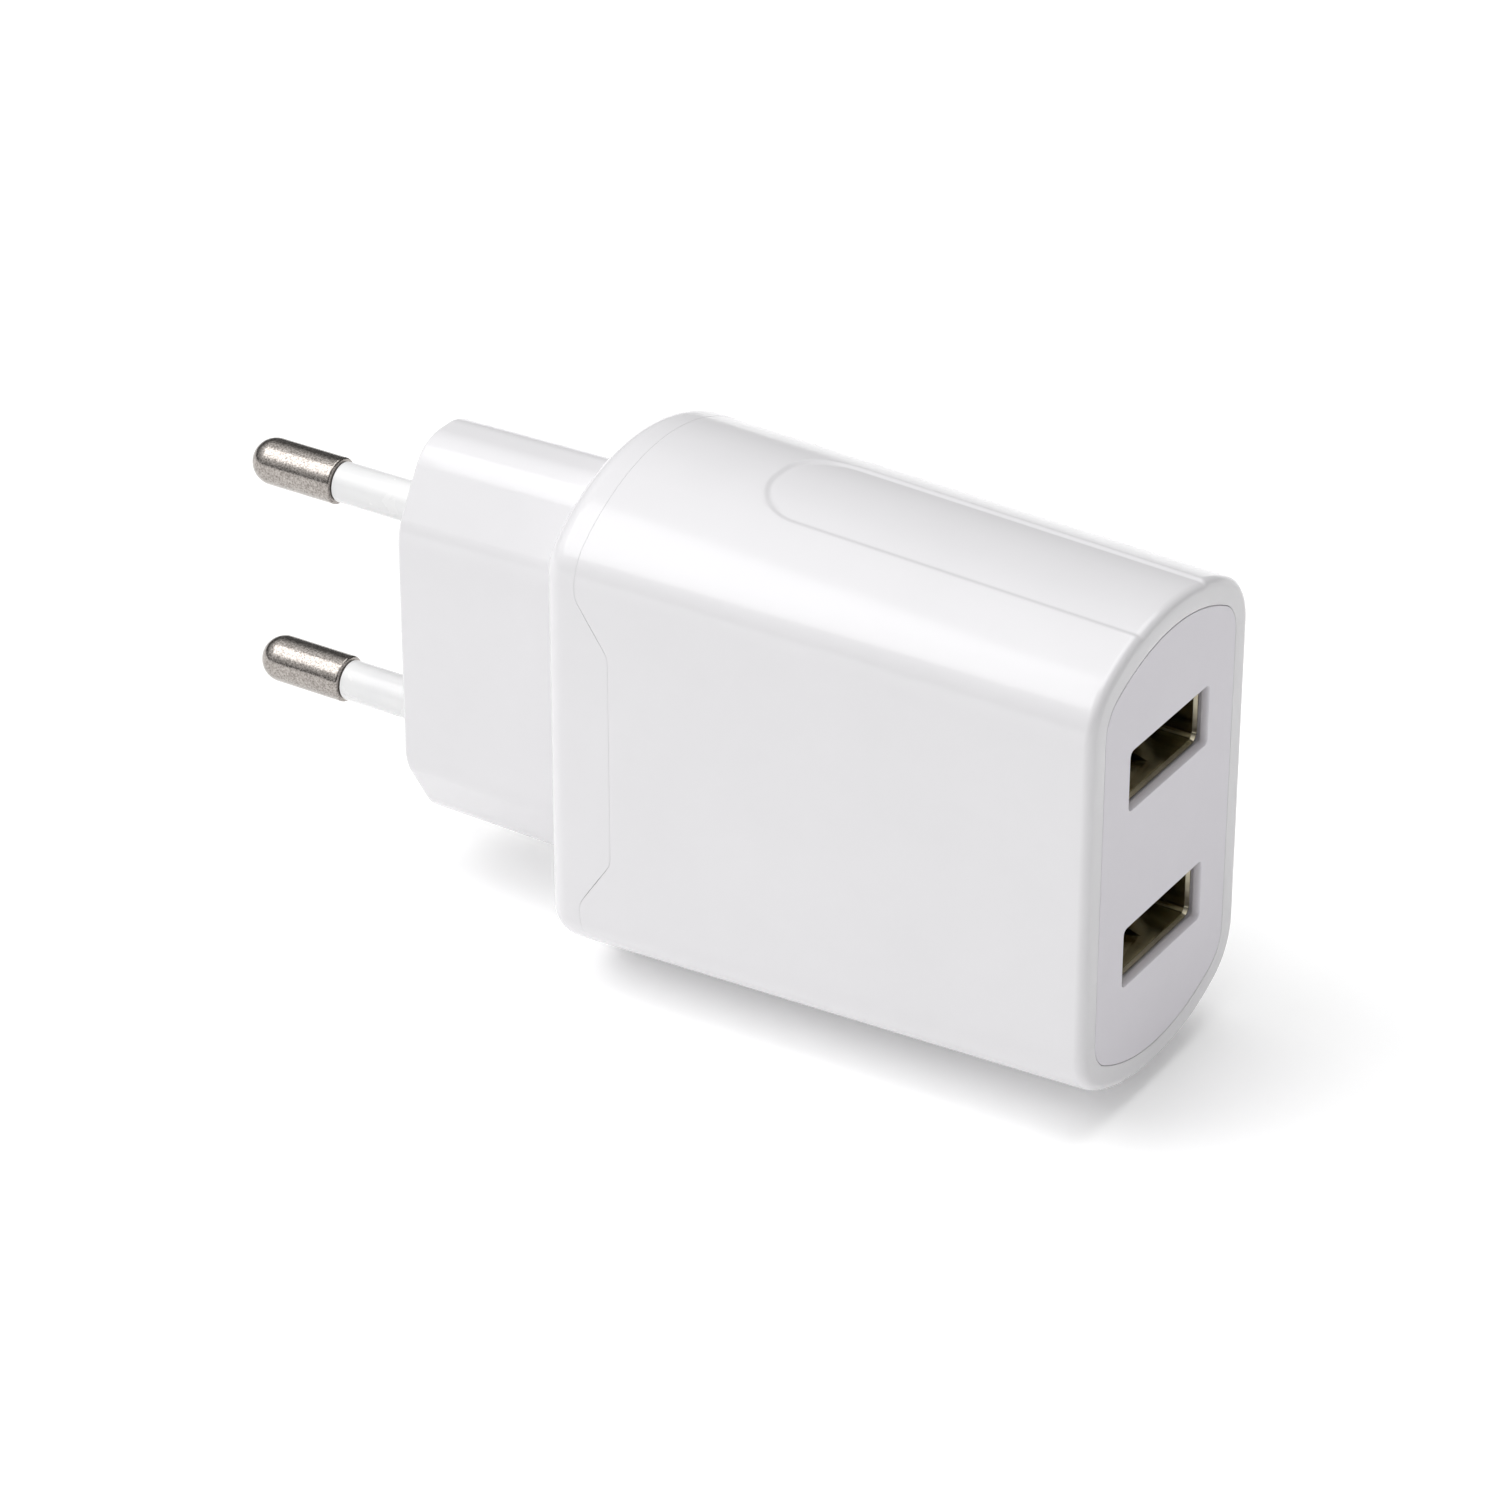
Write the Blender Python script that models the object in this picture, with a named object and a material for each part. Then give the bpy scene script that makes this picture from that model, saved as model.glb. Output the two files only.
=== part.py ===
"""A two-port USB wall charger with a fixed flat two-pin plug, as separate closed solids, in metres.

The origin is the middle of the plug face that meets the wall outlet, between the pins. X runs from
the pins to the USB face, Y runs through the thickness and Z is up, so one pin stands over the other.
"""

import math
from dataclasses import dataclass

import bmesh
import bpy

MM = 0.001

# Pins: a round two-pin mains plug, 4 mm pins with an insulating sleeve next to the plug face.
PIN_SPACING = 18.6 * MM
PIN_LENGTH = 19.0 * MM
PIN_RADIUS = 2.0 * MM
PIN_CORE_RADIUS = 1.2 * MM
PIN_TIP_LENGTH = 8.65 * MM
PIN_TAIL_END = 12.0 * MM
SLEEVE_RADIUS = 1.725 * MM
SLEEVE_ROOT = 2.6 * MM

# Plug block: the long six-sided block that enters a recessed outlet.
PLUG_DEPTH = 18.35 * MM
PLUG_HALF_THICKNESS = 6.9 * MM
PLUG_HALF_WIDTH = 17.3 * MM
PLUG_DRAFT = 0.35 * MM
PLUG_CORNER_RADIUS = 4.9 * MM
PLUG_CORNER_HEIGHT = 9.37 * MM
PLUG_END_RADIUS = 4.0 * MM
PLUG_END_OFFSET = 0.66 * MM
PLUG_EDGE = 0.3 * MM
PLUG_FRONT_WALL = 5.0 * MM
PLUG_WALL = 2.0 * MM

# Body: the tapering case, from its plug end to its USB end.
BODY_LENGTH = 48.45 * MM
HALF_THICKNESS = (13.55 * MM, 12.35 * MM)
HALF_WIDTH = (22.4 * MM, 20.55 * MM)
SIDE_RADIUS = (18.4 * MM, 19.8 * MM)
CORNER_RADIUS = (4.1 * MM, 5.4 * MM)
PLUG_END_FILLET = 2.0 * MM
USB_END_FILLET = 0.8 * MM
WALL = 1.6 * MM
RIM_WIDTH = 2.15 * MM
USB_FACE = PLUG_DEPTH + BODY_LENGTH

# Seam between plug cap and sleeve: it steps towards the USB end across the middle of each broad face.
SEAM = 21.6 * MM
SEAM_STEP = 2.95 * MM
SEAM_SHARES = (0.64, 0.935)
SPIGOT_END = 26.4 * MM
SPIGOT_WALL = 1.2 * MM
CAP_WALL = 2.0 * MM

# Grip: a shallow round-ended recess along each narrow side, open at the USB end.
GRIP_START = 32.4 * MM
GRIP_HALF_WIDTH = 5.0 * MM
GRIP_DEPTH = 0.25 * MM

# USB sockets: two standard type A receptacles, wide way across the thickness.
PORT_HEIGHT = 7.85 * MM
WINDOW_HALF = (6.26 * MM, 2.66 * MM)
WINDOW_CORNER = 0.7 * MM
WINDOW_LEAD = 0.12 * MM
PLATE_LIP = 1.6 * MM
PLATE_BACK = 3.5 * MM
SOCKET_HALF = (6.12 * MM, 2.45 * MM)
SOCKET_SHEET = 0.3 * MM
SOCKET_CORNER = 0.6 * MM
SOCKET_CLEARANCE = 0.2 * MM
SOCKET_FRONT = USB_FACE - 1.0 * MM
SOCKET_LENGTH = 14.4 * MM
SOCKET_BACK = SOCKET_FRONT - SOCKET_LENGTH
INSULATOR_LENGTH = 3.8 * MM
TONGUE_TIP = USB_FACE - 2.9 * MM
TONGUE_HALF_WIDTH = 5.55 * MM
TONGUE_BASE = 0.02 * MM
TONGUE_THICKNESS = 1.84 * MM
CONTACT_TIP = TONGUE_TIP - 0.9 * MM
CONTACT_PLACES = (-3.5 * MM, -1.0 * MM, 1.0 * MM, 3.5 * MM)
CONTACT_THICKNESS = 0.25 * MM
CONTACT_HALF_WIDTH = 0.5 * MM
CONTACT_LEG_STEP = 1.15 * MM

# Circuit board, parallel to the broad faces, with the tall components on its -Y side.
BOARD_TOP = 6.9 * MM
BOARD_THICKNESS = 1.6 * MM
BOARD_BACK = BOARD_TOP + BOARD_THICKNESS
BOARD_SPAN = (23.0 * MM, 62.8 * MM)
BOARD_HALF_WIDTH = 16.0 * MM
LEAD_RADIUS = 0.3 * MM
LEAD_HOLE_RADIUS = 0.5 * MM
LEAD_END = BOARD_BACK + 0.9 * MM

GAP = 0.3 * MM
HAIRLINE = 0.15 * MM
OVERLAP = 0.5 * MM

ROUND = 24
SMALL_ROUND = 8


@dataclass(frozen=True)
class Finish:
    """A surface: linear colour, roughness and metallic value."""

    name: str
    colour: tuple
    roughness: float = 0.5
    metallic: float = 0.0


WHITE_CASE = Finish("white_case_plastic", (0.78, 0.78, 0.79), 0.22)
WHITE_PLATE = Finish("white_face_plastic", (0.70, 0.69, 0.72), 0.35)
WHITE_SLEEVE = Finish("white_sleeve_plastic", (0.80, 0.80, 0.80), 0.25)
NICKEL = Finish("nickel_plated_brass", (0.42, 0.40, 0.37), 0.35, 1.0)
TINNED_STEEL = Finish("tinned_steel", (0.55, 0.54, 0.52), 0.3, 1.0)
GOLD = Finish("gold_plated_bronze", (0.75, 0.55, 0.25), 0.3, 1.0)
BRONZE = Finish("phosphor_bronze", (0.60, 0.38, 0.22), 0.4, 1.0)
SOCKET_PLASTIC = Finish("natural_nylon", (0.60, 0.57, 0.47), 0.5)
BOARD_GREEN = Finish("green_glass_epoxy", (0.02, 0.14, 0.05), 0.45)
FERRITE = Finish("grey_ferrite", (0.06, 0.06, 0.065), 0.6)
PHENOLIC = Finish("black_phenolic", (0.02, 0.02, 0.02), 0.6)
TAPE = Finish("yellow_polyester_tape", (0.75, 0.52, 0.05), 0.35)
FOIL_SLEEVE = Finish("black_capacitor_sleeve", (0.02, 0.02, 0.03), 0.4)
BLUE_EPOXY = Finish("blue_epoxy_coat", (0.03, 0.13, 0.45), 0.4)
GREEN_COAT = Finish("green_resistor_coat", (0.10, 0.30, 0.16), 0.5)
CHIP_EPOXY = Finish("black_chip_epoxy", (0.015, 0.015, 0.015), 0.55)


def clear_scene():
    """Remove every object of the opening scene."""
    for obj in list(bpy.data.objects):
        bpy.data.objects.remove(obj, do_unlink=True)


def material_of(finish):
    """The Principled material of a finish, made once."""
    found = bpy.data.materials.get(finish.name)
    if found:
        return found
    made = bpy.data.materials.new(finish.name)
    made.use_nodes = True
    shader = made.node_tree.nodes["Principled BSDF"]
    shader.inputs["Base Color"].default_value = (*finish.colour, 1.0)
    shader.inputs["Roughness"].default_value = finish.roughness
    shader.inputs["Metallic"].default_value = finish.metallic
    return made


def object_of(name, shape, finish=None, smooth=False):
    """Turn a bmesh into an object whose faces point outwards."""
    bmesh.ops.recalc_face_normals(shape, faces=shape.faces[:])
    if shape.calc_volume(signed=True) < 0:
        bmesh.ops.reverse_faces(shape, faces=shape.faces[:])
    mesh = bpy.data.meshes.new(name)
    shape.to_mesh(mesh)
    shape.free()
    if finish:
        mesh.materials.append(material_of(finish))
    if smooth:
        mesh.shade_smooth()
        mesh.set_sharp_from_angle(angle=math.radians(35))
    made = bpy.data.objects.new(name, mesh)
    bpy.context.scene.collection.objects.link(made)
    return made


def helper(obj):
    """Mark an object as a cutter or a guide."""
    obj.hide_render = True
    obj.display_type = "WIRE"
    return obj


def combine(target, other, operation):
    """Add a Boolean of another object to a target."""
    modifier = target.modifiers.new(operation.lower(), "BOOLEAN")
    modifier.operation = operation
    modifier.solver = "EXACT"
    modifier.object = helper(other)


def loft_into(shape, rings, loop=False):
    """Skin equal rings of points, with a flat cap at each end or, for a loop, closed on itself."""
    rows = [[shape.verts.new(point) for point in ring] for ring in rings]
    pairs = list(zip(rows, rows[1:]))
    if loop:
        pairs.append((rows[-1], rows[0]))
    for low, high in pairs:
        for i in range(len(low)):
            j = (i + 1) % len(low)
            shape.faces.new((low[i], low[j], high[j], high[i]))
    if not loop:
        shape.faces.new(rows[0])
        shape.faces.new(rows[-1])


def loft(name, rings, finish=None, loop=False, smooth=False):
    """An object skinned over rings."""
    shape = bmesh.new()
    loft_into(shape, rings, loop)
    return object_of(name, shape, finish, smooth)


def placed(axis, along, across, up):
    """A point from its place along an axis and its two places across it."""
    return {"X": (along, across, up), "Y": (across, along, up), "Z": (across, up, along)}[axis]


def circle_ring(axis, along, radius, centre, segments):
    """A ring of points round an axis."""
    turns = (math.tau * i / segments for i in range(segments))
    return [
        placed(axis, along, centre[0] + radius * math.cos(t), centre[1] + radius * math.sin(t))
        for t in turns
    ]


def turned(name, profile, centre, finish, axis="X", segments=ROUND, loop=False):
    """A turned piece from its profile of (place along the axis, radius)."""
    rings = [circle_ring(axis, along, radius, centre, segments) for along, radius in profile]
    return loft(name, rings, finish, loop, smooth=True)


def box_into(shape, low, high):
    """Add a box between two corners."""
    corners = [(low[1], low[2]), (high[1], low[2]), (high[1], high[2]), (low[1], high[2])]
    loft_into(shape, [[(x, y, z) for y, z in corners] for x in (low[0], high[0])])


def box(name, low, high, finish=None):
    """A box between two corners."""
    shape = bmesh.new()
    box_into(shape, low, high)
    return object_of(name, shape, finish)


def prism(name, outline, axis, low, high, finish=None):
    """A flat outline drawn out along an axis."""
    rings = [[placed(axis, along, *point) for point in outline] for along in (low, high)]
    return loft(name, rings, finish)


def span(ends, share):
    """The value at a share of the way between two ends."""
    return ends[0] + (ends[1] - ends[0]) * share


def arc(centre, radius, start, stop, segments):
    """Points on an arc, both ends included."""
    turns = (start + (stop - start) * i / segments for i in range(segments + 1))
    return [(centre[0] + radius * math.cos(t), centre[1] + radius * math.sin(t)) for t in turns]


def tangent_angle(first, first_radius, second, second_radius):
    """The angle of the normal at which one straight line touches two circles."""
    step = (second[0] - first[0], second[1] - first[1])
    share = (first_radius - second_radius) / math.hypot(*step)
    turn = math.atan2(step[1], step[0]) - math.acos(max(-1.0, min(1.0, share)))
    return turn % math.tau


def mirrored(quarter):
    """The whole outline from its quarter, in order, without points that fall together."""
    back = quarter[::-1]
    whole = quarter + [(-y, z) for y, z in back]
    whole += [(-y, -z) for y, z in quarter] + [(y, -z) for y, z in back]
    return [p for i, p in enumerate(whole) if math.dist(p, whole[i - 1]) > 1e-7]


def two_arc_outline(corner, corner_radius, end, end_radius, inset, flats, steps):
    """A rounded outline whose quarter is a corner arc and an end arc, drawn in by an inset.

    flats are shares of the straight broad side that get a point of their own.
    """
    turn = tangent_angle(corner, corner_radius, end, end_radius)
    quarter = [(corner[0] + corner_radius - inset, corner[1] * share) for share in flats]
    quarter += arc(corner, corner_radius - inset, 0.0, turn, steps[0])
    outer = arc(end, end_radius - inset, turn, math.pi / 2, steps[1])
    together = math.dist(quarter[-1], outer[0]) < 1e-6
    return mirrored(quarter + (outer[1:] if together else outer))


def body_outline(x, inset=0.0):
    """The body's section at a place along it: flat broad sides, bowed narrow sides, round corners."""
    share = (x - PLUG_DEPTH) / BODY_LENGTH
    half = span(HALF_THICKNESS, share)
    radius = span(SIDE_RADIUS, share)
    corner_radius = span(CORNER_RADIUS, share)
    centre = span(HALF_WIDTH, share) - radius
    across = half - corner_radius
    rise = math.sqrt((radius - corner_radius) ** 2 - across**2)
    corner = (across, centre + rise)
    return two_arc_outline(
        corner, corner_radius, (0.0, centre), radius, inset, SEAM_SHARES, (4, 6)
    )


def plug_outline(x, inset=0.0):
    """The plug block's section: flat broad sides, slanting flanks and rounded narrow ends."""
    grown = PLUG_DRAFT * x / PLUG_DEPTH
    corner = (PLUG_HALF_THICKNESS - PLUG_CORNER_RADIUS, PLUG_CORNER_HEIGHT + grown)
    end = (PLUG_END_OFFSET, PLUG_HALF_WIDTH - PLUG_END_RADIUS + grown)
    return two_arc_outline(
        corner, PLUG_CORNER_RADIUS, end, PLUG_END_RADIUS, inset, (), (4, 6)
    )


def ring(outline, x, inset=0.0):
    """An outline's points at one place along X."""
    return [(x, y, z) for y, z in outline(x, inset)]


def seam_step(index, count):
    """How far the seam steps towards the USB end at a point of the body's outline."""
    half = count // 2
    on_broad_side = index % half in (0, half - 1)
    return SEAM_STEP if on_broad_side else 0.0


def seam_ring(shift, inset):
    """The body's outline along the stepped seam, moved along X by a shift."""
    points = body_outline(SEAM, inset)
    return [
        (SEAM + shift + seam_step(i, len(points)), y, z) for i, (y, z) in enumerate(points)
    ]


def fillet_rings(outline, x, radius, direction, steps=3):
    """Rings that round an end edge, from the end face to the side."""
    turns = [math.pi / 2 * i / steps for i in range(steps + 1)]
    return [
        ring(outline, x + direction * radius * (1 - math.cos(t)), radius * (1 - math.sin(t)))
        for t in turns
    ]


def leads_into(shape, places, start, radius=LEAD_RADIUS, end=LEAD_END):
    """Add straight leads along Y, each at an (x, z) place."""
    for place in places:
        rings = [circle_ring("Y", y, radius, place, SMALL_ROUND) for y in (start, end)]
        loft_into(shape, rings)


def add_leads(component, places, start=BOARD_TOP - GAP - OVERLAP, radius=LEAD_RADIUS):
    """Join leads to a component that stands on the board, and return their places."""
    shape = bmesh.new()
    leads_into(shape, places, start, radius)
    combine(component, object_of(component.name + "_leads", shape), "UNION")
    return list(places)


def make_pins():
    """Each pin is one turned brass piece; its sleeve covers the half next to the plug face."""
    ring_place = PIN_TIP_LENGTH - PIN_LENGTH
    dome = [
        (-PIN_LENGTH + PIN_RADIUS * (1 - math.cos(t)), PIN_RADIUS * math.sin(t))
        for t in (math.pi / 2 * i / 6 for i in range(1, 7))
    ]
    dome.insert(0, (-PIN_LENGTH, HAIRLINE))
    lip = 0.25 * MM
    collar = PLUG_FRONT_WALL + GAP
    pin = dome + [
        (ring_place - lip, PIN_RADIUS),
        (ring_place, PIN_RADIUS - lip),
        (ring_place, PIN_CORE_RADIUS),
        (collar, PIN_CORE_RADIUS),
        (collar, PIN_RADIUS),
        (collar + 1.2 * MM, PIN_RADIUS),
        (collar + 1.2 * MM, PIN_CORE_RADIUS),
        (PIN_TAIL_END, PIN_CORE_RADIUS),
    ]
    bore = PIN_CORE_RADIUS + HAIRLINE
    sleeve = [
        (ring_place + HAIRLINE, bore),
        (ring_place + HAIRLINE, SLEEVE_RADIUS),
        (SLEEVE_ROOT, SLEEVE_RADIUS),
        (SLEEVE_ROOT, bore),
    ]
    for side, name in ((1, "upper"), (-1, "lower")):
        centre = (0.0, side * PIN_SPACING / 2)
        turned("pin_" + name, pin, centre, NICKEL)
        turned("pin_sleeve_" + name, sleeve, centre, WHITE_SLEEVE, loop=True)


def make_plug_cap():
    """The plug block and the end of the case, one moulding with a spigot that enters the sleeve."""
    rings = fillet_rings(body_outline, PLUG_DEPTH, PLUG_END_FILLET, 1)
    rings.append(seam_ring(-HAIRLINE, 0.0))
    rings.append(seam_ring(-HAIRLINE, WALL + GAP))
    rings.append(ring(body_outline, SPIGOT_END, WALL + GAP))
    rings.append(ring(body_outline, SPIGOT_END, WALL + GAP + SPIGOT_WALL))
    rings.append(ring(body_outline, PLUG_DEPTH + CAP_WALL, WALL + GAP + SPIGOT_WALL))
    cap = loft("plug_cap", rings, WHITE_CASE, smooth=True)
    front = fillet_rings(plug_outline, 0.0, PLUG_EDGE, 1, 2)
    block = loft("plug_block", front + [ring(plug_outline, PLUG_DEPTH + CAP_WALL / 2)])
    combine(cap, block, "UNION")
    cavity_span = (PLUG_FRONT_WALL, PLUG_DEPTH + CAP_WALL + OVERLAP)
    cavity = loft("plug_cavity", [ring(plug_outline, x, PLUG_WALL) for x in cavity_span])
    combine(cap, cavity, "DIFFERENCE")
    root = SLEEVE_ROOT + HAIRLINE
    wide = SLEEVE_RADIUS + HAIRLINE
    narrow = PIN_CORE_RADIUS + HAIRLINE
    profile = [
        (-OVERLAP, wide),
        (root, wide),
        (root, narrow),
        (PLUG_FRONT_WALL + OVERLAP, narrow),
    ]
    for side, name in ((1, "upper"), (-1, "lower")):
        hole = turned("pin_hole_" + name, profile, (0.0, side * PIN_SPACING / 2), None)
        combine(cap, hole, "DIFFERENCE")


def make_housing_sleeve():
    """The case's sleeve: a tapering tube with an inward rim round the USB face."""
    ledge = USB_FACE - PLATE_LIP
    rings = [seam_ring(0.0, 0.0)]
    rings += fillet_rings(body_outline, USB_FACE, USB_END_FILLET, -1)[::-1]
    rings.append(ring(body_outline, USB_FACE, RIM_WIDTH))
    rings.append(ring(body_outline, ledge, RIM_WIDTH))
    rings.append(ring(body_outline, ledge, WALL))
    rings.append(seam_ring(0.0, WALL))
    sleeve = loft("housing_sleeve", rings, WHITE_CASE, loop=True, smooth=True)
    middle = (GRIP_START + GRIP_HALF_WIDTH, 0.0)
    beyond = USB_FACE + OVERLAP
    outline = arc(middle, GRIP_HALF_WIDTH, math.pi / 2, 3 * math.pi / 2, 12)
    outline = [(beyond, GRIP_HALF_WIDTH), *outline, (beyond, -GRIP_HALF_WIDTH)]
    reach = HALF_WIDTH[0] + OVERLAP
    for side, name in ((1, "upper"), (-1, "lower")):
        cutter = prism("grip_" + name, outline, "Z", 0.0, side * reach)
        core_span = (PLUG_DEPTH, beyond + OVERLAP)
        core = loft("grip_core_" + name, [ring(body_outline, x, GRIP_DEPTH) for x in core_span])
        combine(cutter, core, "DIFFERENCE")
        combine(sleeve, cutter, "DIFFERENCE")


def rectangle(half, centre_z, grow=0.0):
    """Corners of a rectangle round a port, as (y, z)."""
    wide, high = half[0] + grow, half[1] + grow
    return [(y * wide, centre_z + z * high) for y, z in ((-1, -1), (1, -1), (1, 1), (-1, 1))]


def rounded_rectangle(half, centre_z, radius, grow=0.0, steps=3):
    """A rectangle round a port with round corners, as (y, z)."""
    points = []
    for turn, (y, z) in enumerate(((1, 1), (-1, 1), (-1, -1), (1, -1))):
        centre = (y * (half[0] - radius), centre_z + z * (half[1] - radius))
        start = turn * math.pi / 2
        points += arc(centre, radius + grow, start, start + math.pi / 2, steps)
    return points


def make_usb_face_plate():
    """The plate inside the rim, with a rounded window and a pocket behind it for each socket."""
    ledge = USB_FACE - PLATE_LIP
    face_inset = RIM_WIDTH + HAIRLINE
    flange_inset = WALL + GAP
    back = USB_FACE - PLATE_BACK
    rings = [
        ring(body_outline, back, flange_inset),
        ring(body_outline, ledge - HAIRLINE, flange_inset),
        ring(body_outline, ledge - HAIRLINE, face_inset),
        ring(body_outline, USB_FACE, face_inset),
    ]
    plate = loft("usb_face_plate", rings, WHITE_PLATE)
    pocket_end = SOCKET_FRONT + HAIRLINE
    for side, name in ((1, "upper"), (-1, "lower")):
        centre = side * PORT_HEIGHT
        stations = [
            (back - OVERLAP, 0.0),
            (USB_FACE - WINDOW_LEAD, 0.0),
            (USB_FACE + WINDOW_LEAD, 2 * WINDOW_LEAD),
        ]
        window = [
            [(x, *p) for p in rounded_rectangle(WINDOW_HALF, centre, WINDOW_CORNER, grow)]
            for x, grow in stations
        ]
        combine(plate, loft("window_" + name, window), "DIFFERENCE")
        around = SOCKET_SHEET + GAP
        low, *_, high = sorted(rectangle(SOCKET_HALF, centre, around))
        pocket = box("pocket_" + name, (back - 2 * OVERLAP, *low), (pocket_end, *high))
        combine(plate, pocket, "DIFFERENCE")


def make_socket(side, name):
    """A type A receptacle: folded steel shell, insulator with its tongue, and four contacts."""
    centre = side * PORT_HEIGHT
    inner = rounded_rectangle(SOCKET_HALF, centre, SOCKET_CORNER)
    outer = rounded_rectangle(SOCKET_HALF, centre, SOCKET_CORNER, SOCKET_SHEET)
    rings = [
        [(SOCKET_BACK, *p) for p in outer],
        [(SOCKET_FRONT, *p) for p in outer],
        [(SOCKET_FRONT, *p) for p in inner],
        [(SOCKET_BACK, *p) for p in inner],
    ]
    shell = loft("usb_shell_" + name, rings, TINNED_STEEL, loop=True)
    leg_places = [
        (x, centre + z) for x in (SOCKET_BACK + 3.0 * MM, SOCKET_FRONT - 5.0 * MM)
        for z in (-1.5 * MM, 1.5 * MM)
    ]
    holes = add_leads(shell, leg_places, SOCKET_HALF[0] + 0.05 * MM, 0.35 * MM)
    block_end = SOCKET_BACK + INSULATOR_LENGTH
    block_half = (SOCKET_HALF[0] - SOCKET_CLEARANCE, SOCKET_HALF[1] - SOCKET_CLEARANCE)
    insulator = box(
        "usb_insulator_" + name,
        (SOCKET_BACK, -block_half[0], centre - block_half[1]),
        (block_end, block_half[0], centre + block_half[1]),
        SOCKET_PLASTIC,
    )
    tongue_low = centre + TONGUE_BASE
    tongue = box(
        "usb_tongue_" + name,
        (block_end - OVERLAP, -TONGUE_HALF_WIDTH, tongue_low),
        (TONGUE_TIP, TONGUE_HALF_WIDTH, tongue_low + TONGUE_THICKNESS),
    )
    combine(insulator, tongue, "UNION")
    contact_high = tongue_low - 0.1 * MM
    contact_low = contact_high - CONTACT_THICKNESS
    channel = CONTACT_HALF_WIDTH + SOCKET_CLEARANCE
    channels = bmesh.new()
    for place in CONTACT_PLACES:
        box_into(
            channels,
            (SOCKET_BACK - OVERLAP, place - channel, contact_low - SOCKET_CLEARANCE),
            (block_end + OVERLAP, place + channel, contact_high + HAIRLINE),
        )
    combine(insulator, object_of("contact_channels_" + name, channels), "DIFFERENCE")
    for number, place in enumerate(CONTACT_PLACES, 1):
        leg_far = SOCKET_BACK - (5 - number) * CONTACT_LEG_STEP + SOCKET_CLEARANCE
        leg_near = leg_far + CONTACT_HALF_WIDTH
        low, high = place - CONTACT_HALF_WIDTH, place + CONTACT_HALF_WIDTH
        outline = [
            (leg_far, low),
            (CONTACT_TIP, low),
            (CONTACT_TIP, high),
            (leg_near, high),
            (leg_near, LEAD_END),
            (leg_far, LEAD_END),
        ]
        prism(f"usb_contact_{name}_{number}", outline, "Z", contact_low, contact_high, GOLD)
        holes.append(((leg_far + leg_near) / 2, (contact_low + contact_high) / 2))
    return holes


def make_contact_spring(side, name):
    """A folded bronze strip that presses on a pin's tail and stands in the board."""
    sheet = 0.4 * MM
    near = PIN_CORE_RADIUS + HAIRLINE
    leg = 23.7 * MM
    centre = side * PIN_SPACING / 2
    half = 1.6 * MM
    start = 8.0 * MM
    outline = [
        (start, near),
        (leg + sheet, near),
        (leg + sheet, BOARD_TOP - GAP),
        (leg, BOARD_TOP - GAP),
        (leg, near + sheet),
        (start, near + sheet),
    ]
    spring = prism("contact_spring_" + name, outline, "Z", centre - half, centre + half, BRONZE)
    return add_leads(spring, [(leg + sheet / 2, centre)], radius=0.19 * MM)


def make_can(name, place, radius, length, finish):
    """An electrolytic capacitor: a can with a crimp groove near its base and a rounded top."""
    base = BOARD_TOP - GAP
    crimp = 0.25 * MM
    profile = [
        (base - length, radius - 0.5 * MM),
        (base - length + 0.5 * MM, radius),
        (base - 2.2 * MM, radius),
        (base - 1.8 * MM, radius - crimp),
        (base - 1.4 * MM, radius),
        (base, radius),
    ]
    can = turned(name, profile, place, finish, axis="Y", segments=16)
    spread = 0.45 * radius
    return add_leads(can, [(place[0], place[1] - spread), (place[0], place[1] + spread)])


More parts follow.
